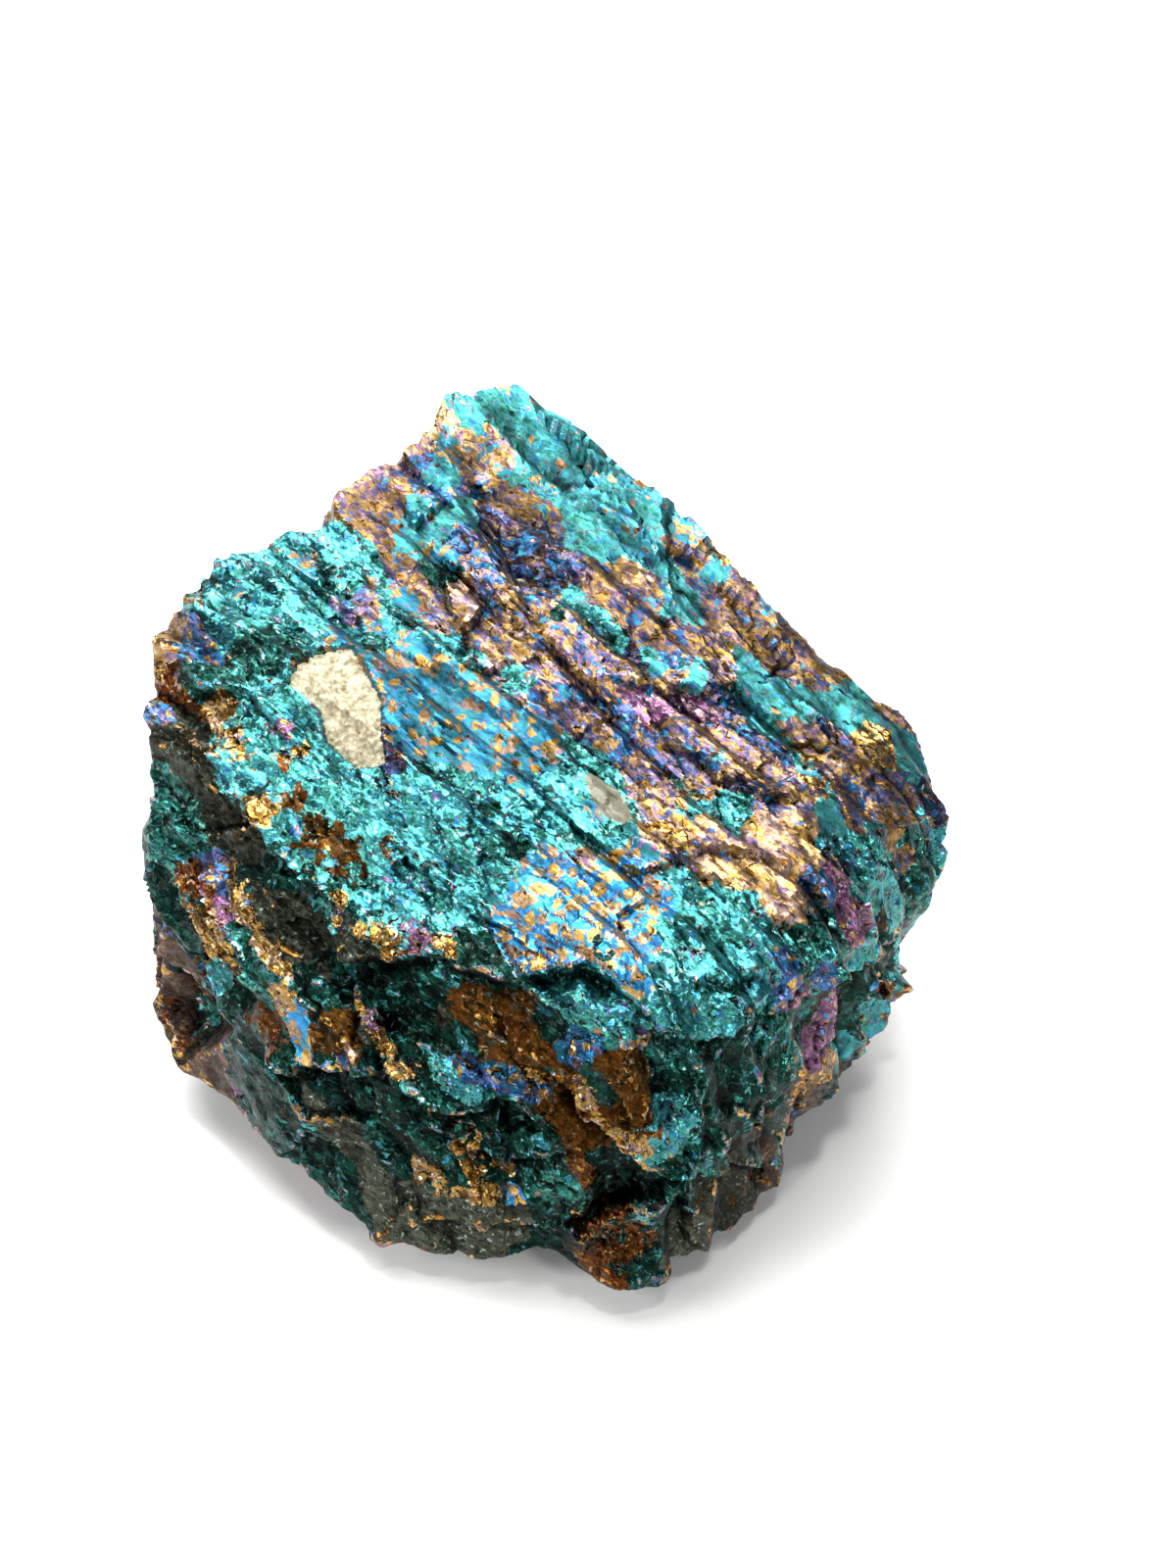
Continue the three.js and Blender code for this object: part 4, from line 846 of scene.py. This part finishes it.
    push = add("VectorMath", scale, {0: slabTilt, "Scale": grain["slabTilt"]})
    push = add("VectorMath", timesPlus, (facetTilt, (grain["facetTilt"],)*3, push))
    push = add("VectorMath", timesPlus, (wrinkles, (grain["wrinkleTilt"],)*3, push))
    push = add("VectorMath", scale, {0: push, "Scale": foil})
    push = add("VectorMath", timesPlus, (fibres, (grain["fibreTilt"],)*3, push))
    shape = add("NewGeometry", {}, ()).outputs["Normal"]
    normal = add("VectorMath", unitLength, (add("VectorMath", plus, (shape, push)),))
    roughness = add("Math", timesPlus, (foil, look["roughnessByFoil"], look["roughness"]))
    roughness = add("Math", timesPlus, (slabX, look["roughnessOwn"], roughness))
    inputs = {"Base Color": colour, "Metallic": metallic, "Roughness": roughness, "Normal": normal}
    surface = add("BsdfPrincipled", {}, inputs)
    add("OutputMaterial", {}, (surface,))
    return material


# sugary quartz: matt cream grains with a faint sheen, with painted shade between the grains
def sugaryQuartz():
    material, add = newMaterial("sugary_quartz")
    place = add("TexCoord", {}, ()).outputs["Object"]
    place = add("VectorMath", scale, {0: place, "Scale": 1/mm})
    inputs = {"Vector": place, "Scale": 1/crust["clouds"], "Detail": 4, "Roughness": 0.7}
    clouds = add("TexNoise", {}, inputs)
    grains = add("TexVoronoi", {}, {"Vector": place, "Scale": 1/crust["fineGrain"]}).outputs["Distance"]
    tint = add("ValToRGB", {}, (clouds.outputs["Fac"],))
    setStops(tint, crust["cloudStops"])
    # painted shade between the grains
    shadeBetweenGrains = add("MapRange", {}, (grains, *crust["shadeBetweenGrains"]))
    colour = add("VectorMath", scale, {0: tint, "Scale": shadeBetweenGrains})
    inputs = {"Strength": crust["bumpShare"], "Distance": crust["bump"]*mm, "Height": grains}
    bump = add("Bump", dict(invert=True), inputs)
    inputs = {"Base Color": colour, "Normal": bump, "Roughness": crust["roughness"],
              "Subsurface Weight": crust["glow"], "Subsurface Scale": crust["glowDepth"]*mm}
    surface = add("BsdfPrincipled", {}, inputs)
    add("OutputMaterial", {}, (surface,))
    return material


def newPiece(name, points, quads, material):
    mesh = bpy.data.meshes.new(name)
    mesh.from_pydata((points*mm).tolist(), [], quads.tolist())
    mesh.update()
    mesh.materials.append(material)
    piece = bpy.data.objects.new(name, mesh)
    bpy.context.scene.collection.objects.link(piece)
    return piece


def toOrigin(points):
    x, y = lump["middle"]
    return points-(x, y, lump["restHeight"])


def buildLump():
    points, quads = lumpSurface()
    hollow, normal = hollowness(points, quads, lump["hollowRounds"])
    valley, normal = hollowness(points, quads, lump["valleyRounds"])
    fields = filmFields(points, normal)
    inLens = insideOutline(points, lensOutline)
    inLens[points[:, 2] <= 0] = inLens.min()
    # hollow and valley carry the painted shade of hollows and valleys; hollow also marks the crests
    fields.update(hollow=hollow, valley=valley, pale=inLens)
    piece = newPiece("ore_lump", toOrigin(points), quads, tarnishFilm())
    mesh = piece.data
    for name, values in fields.items():
        layer = mesh.attributes.new(name, "FLOAT", "POINT")
        layer.data.foreach_set("value", values.astype(np.float32))
    mesh.shade_smooth()
    mesh.set_sharp_from_angle(angle=np.radians(lump["sharpAngle"]))
    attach(piece, "root")
    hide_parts("peacock_ore")
    print("ore lump:", len(points), "points,", 2*len(quads), "triangles")


def buildCrust():
    points, quads = crustSurface()
    piece = newPiece("quartz_crust", toOrigin(points), quads, sugaryQuartz())
    piece.data.shade_smooth()
    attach(piece, "root")
    print("quartz crust:", len(points), "points")


# floor, light and camera
studio = dict(
    floorColour="#F4F3F1", floorRoughness=0.8, floorSize=1.6,
    worldColour="#D5D8DC", worldStrength=0.34,
    aim=(0, 0, 0.015),
    lights=dict(    # place, size and power
        keySoftbox=((-0.04, 0.16, 0.30), 0.34, 2.9),
        fillSoftbox=((-0.35, -0.12, 0.26), 0.15, 0.7),
        leftGlint=((-0.16, -0.24, 0.20), 0.04, 0.22),
        rightGlint=((0.20, -0.22, 0.16), 0.04, 0.3),
        topGlint=((0.05, -0.04, 0.38), 0.03, 0.25),
    ),
)


def makeFloor():
    half = studio["floorSize"]/2
    corner = half*np.array([(-1, -1, 0), (1, -1, 0), (1, 1, 0), (-1, 1, 0)])
    material, add = newMaterial("matt_white_board")
    inputs = {"Base Color": srgb(studio["floorColour"]), "Roughness": studio["floorRoughness"]}
    surface = add("BsdfPrincipled", {}, inputs)
    add("OutputMaterial", {}, (surface,))
    floor = newPiece("floor", corner/mm, np.array([[0, 1, 2, 3]]), material)


def makeLights():
    for name, (at, size, power) in studio["lights"].items():
        light = bpy.data.lights.new(name, "AREA")
        light.size = size
        light.energy = power
        lamp = bpy.data.objects.new(name, light)
        lamp.location = at
        lamp.rotation_euler = (Vector(studio["aim"])-lamp.location).to_track_quat("-Z", "Y").to_euler()
        bpy.context.scene.collection.objects.link(lamp)


def makeWorld():
    world = bpy.data.worlds.new("room")
    bpy.context.scene.world = world
    world.use_nodes = True
    background = world.node_tree.nodes["Background"]
    background.inputs["Color"].default_value = srgb(studio["worldColour"])
    background.inputs["Strength"].default_value = studio["worldStrength"]


# the camera looks down from the front, a little to the right of the lump's middle
def makeCamera():
    camera = bpy.data.cameras.new("camera")
    camera.sensor_width = 36
    camera.lens = camera.sensor_width*view["distance"]/view["height"]
    camera.clip_start = 0.01
    holder = bpy.data.objects.new("camera", camera)
    holder.location = toOrigin(cameraPlace())*mm
    holder.rotation_euler = (np.radians(90-view["elevation"]), 0, 0)
    bpy.context.scene.collection.objects.link(holder)
    bpy.context.scene.camera = holder


makeWorld()
makeLights()
makeCamera()
makeFloor()
print("studio: floor, lights and camera")
buildLump()
buildCrust()
bpy.context.scene.view_settings.view_transform = "Standard"
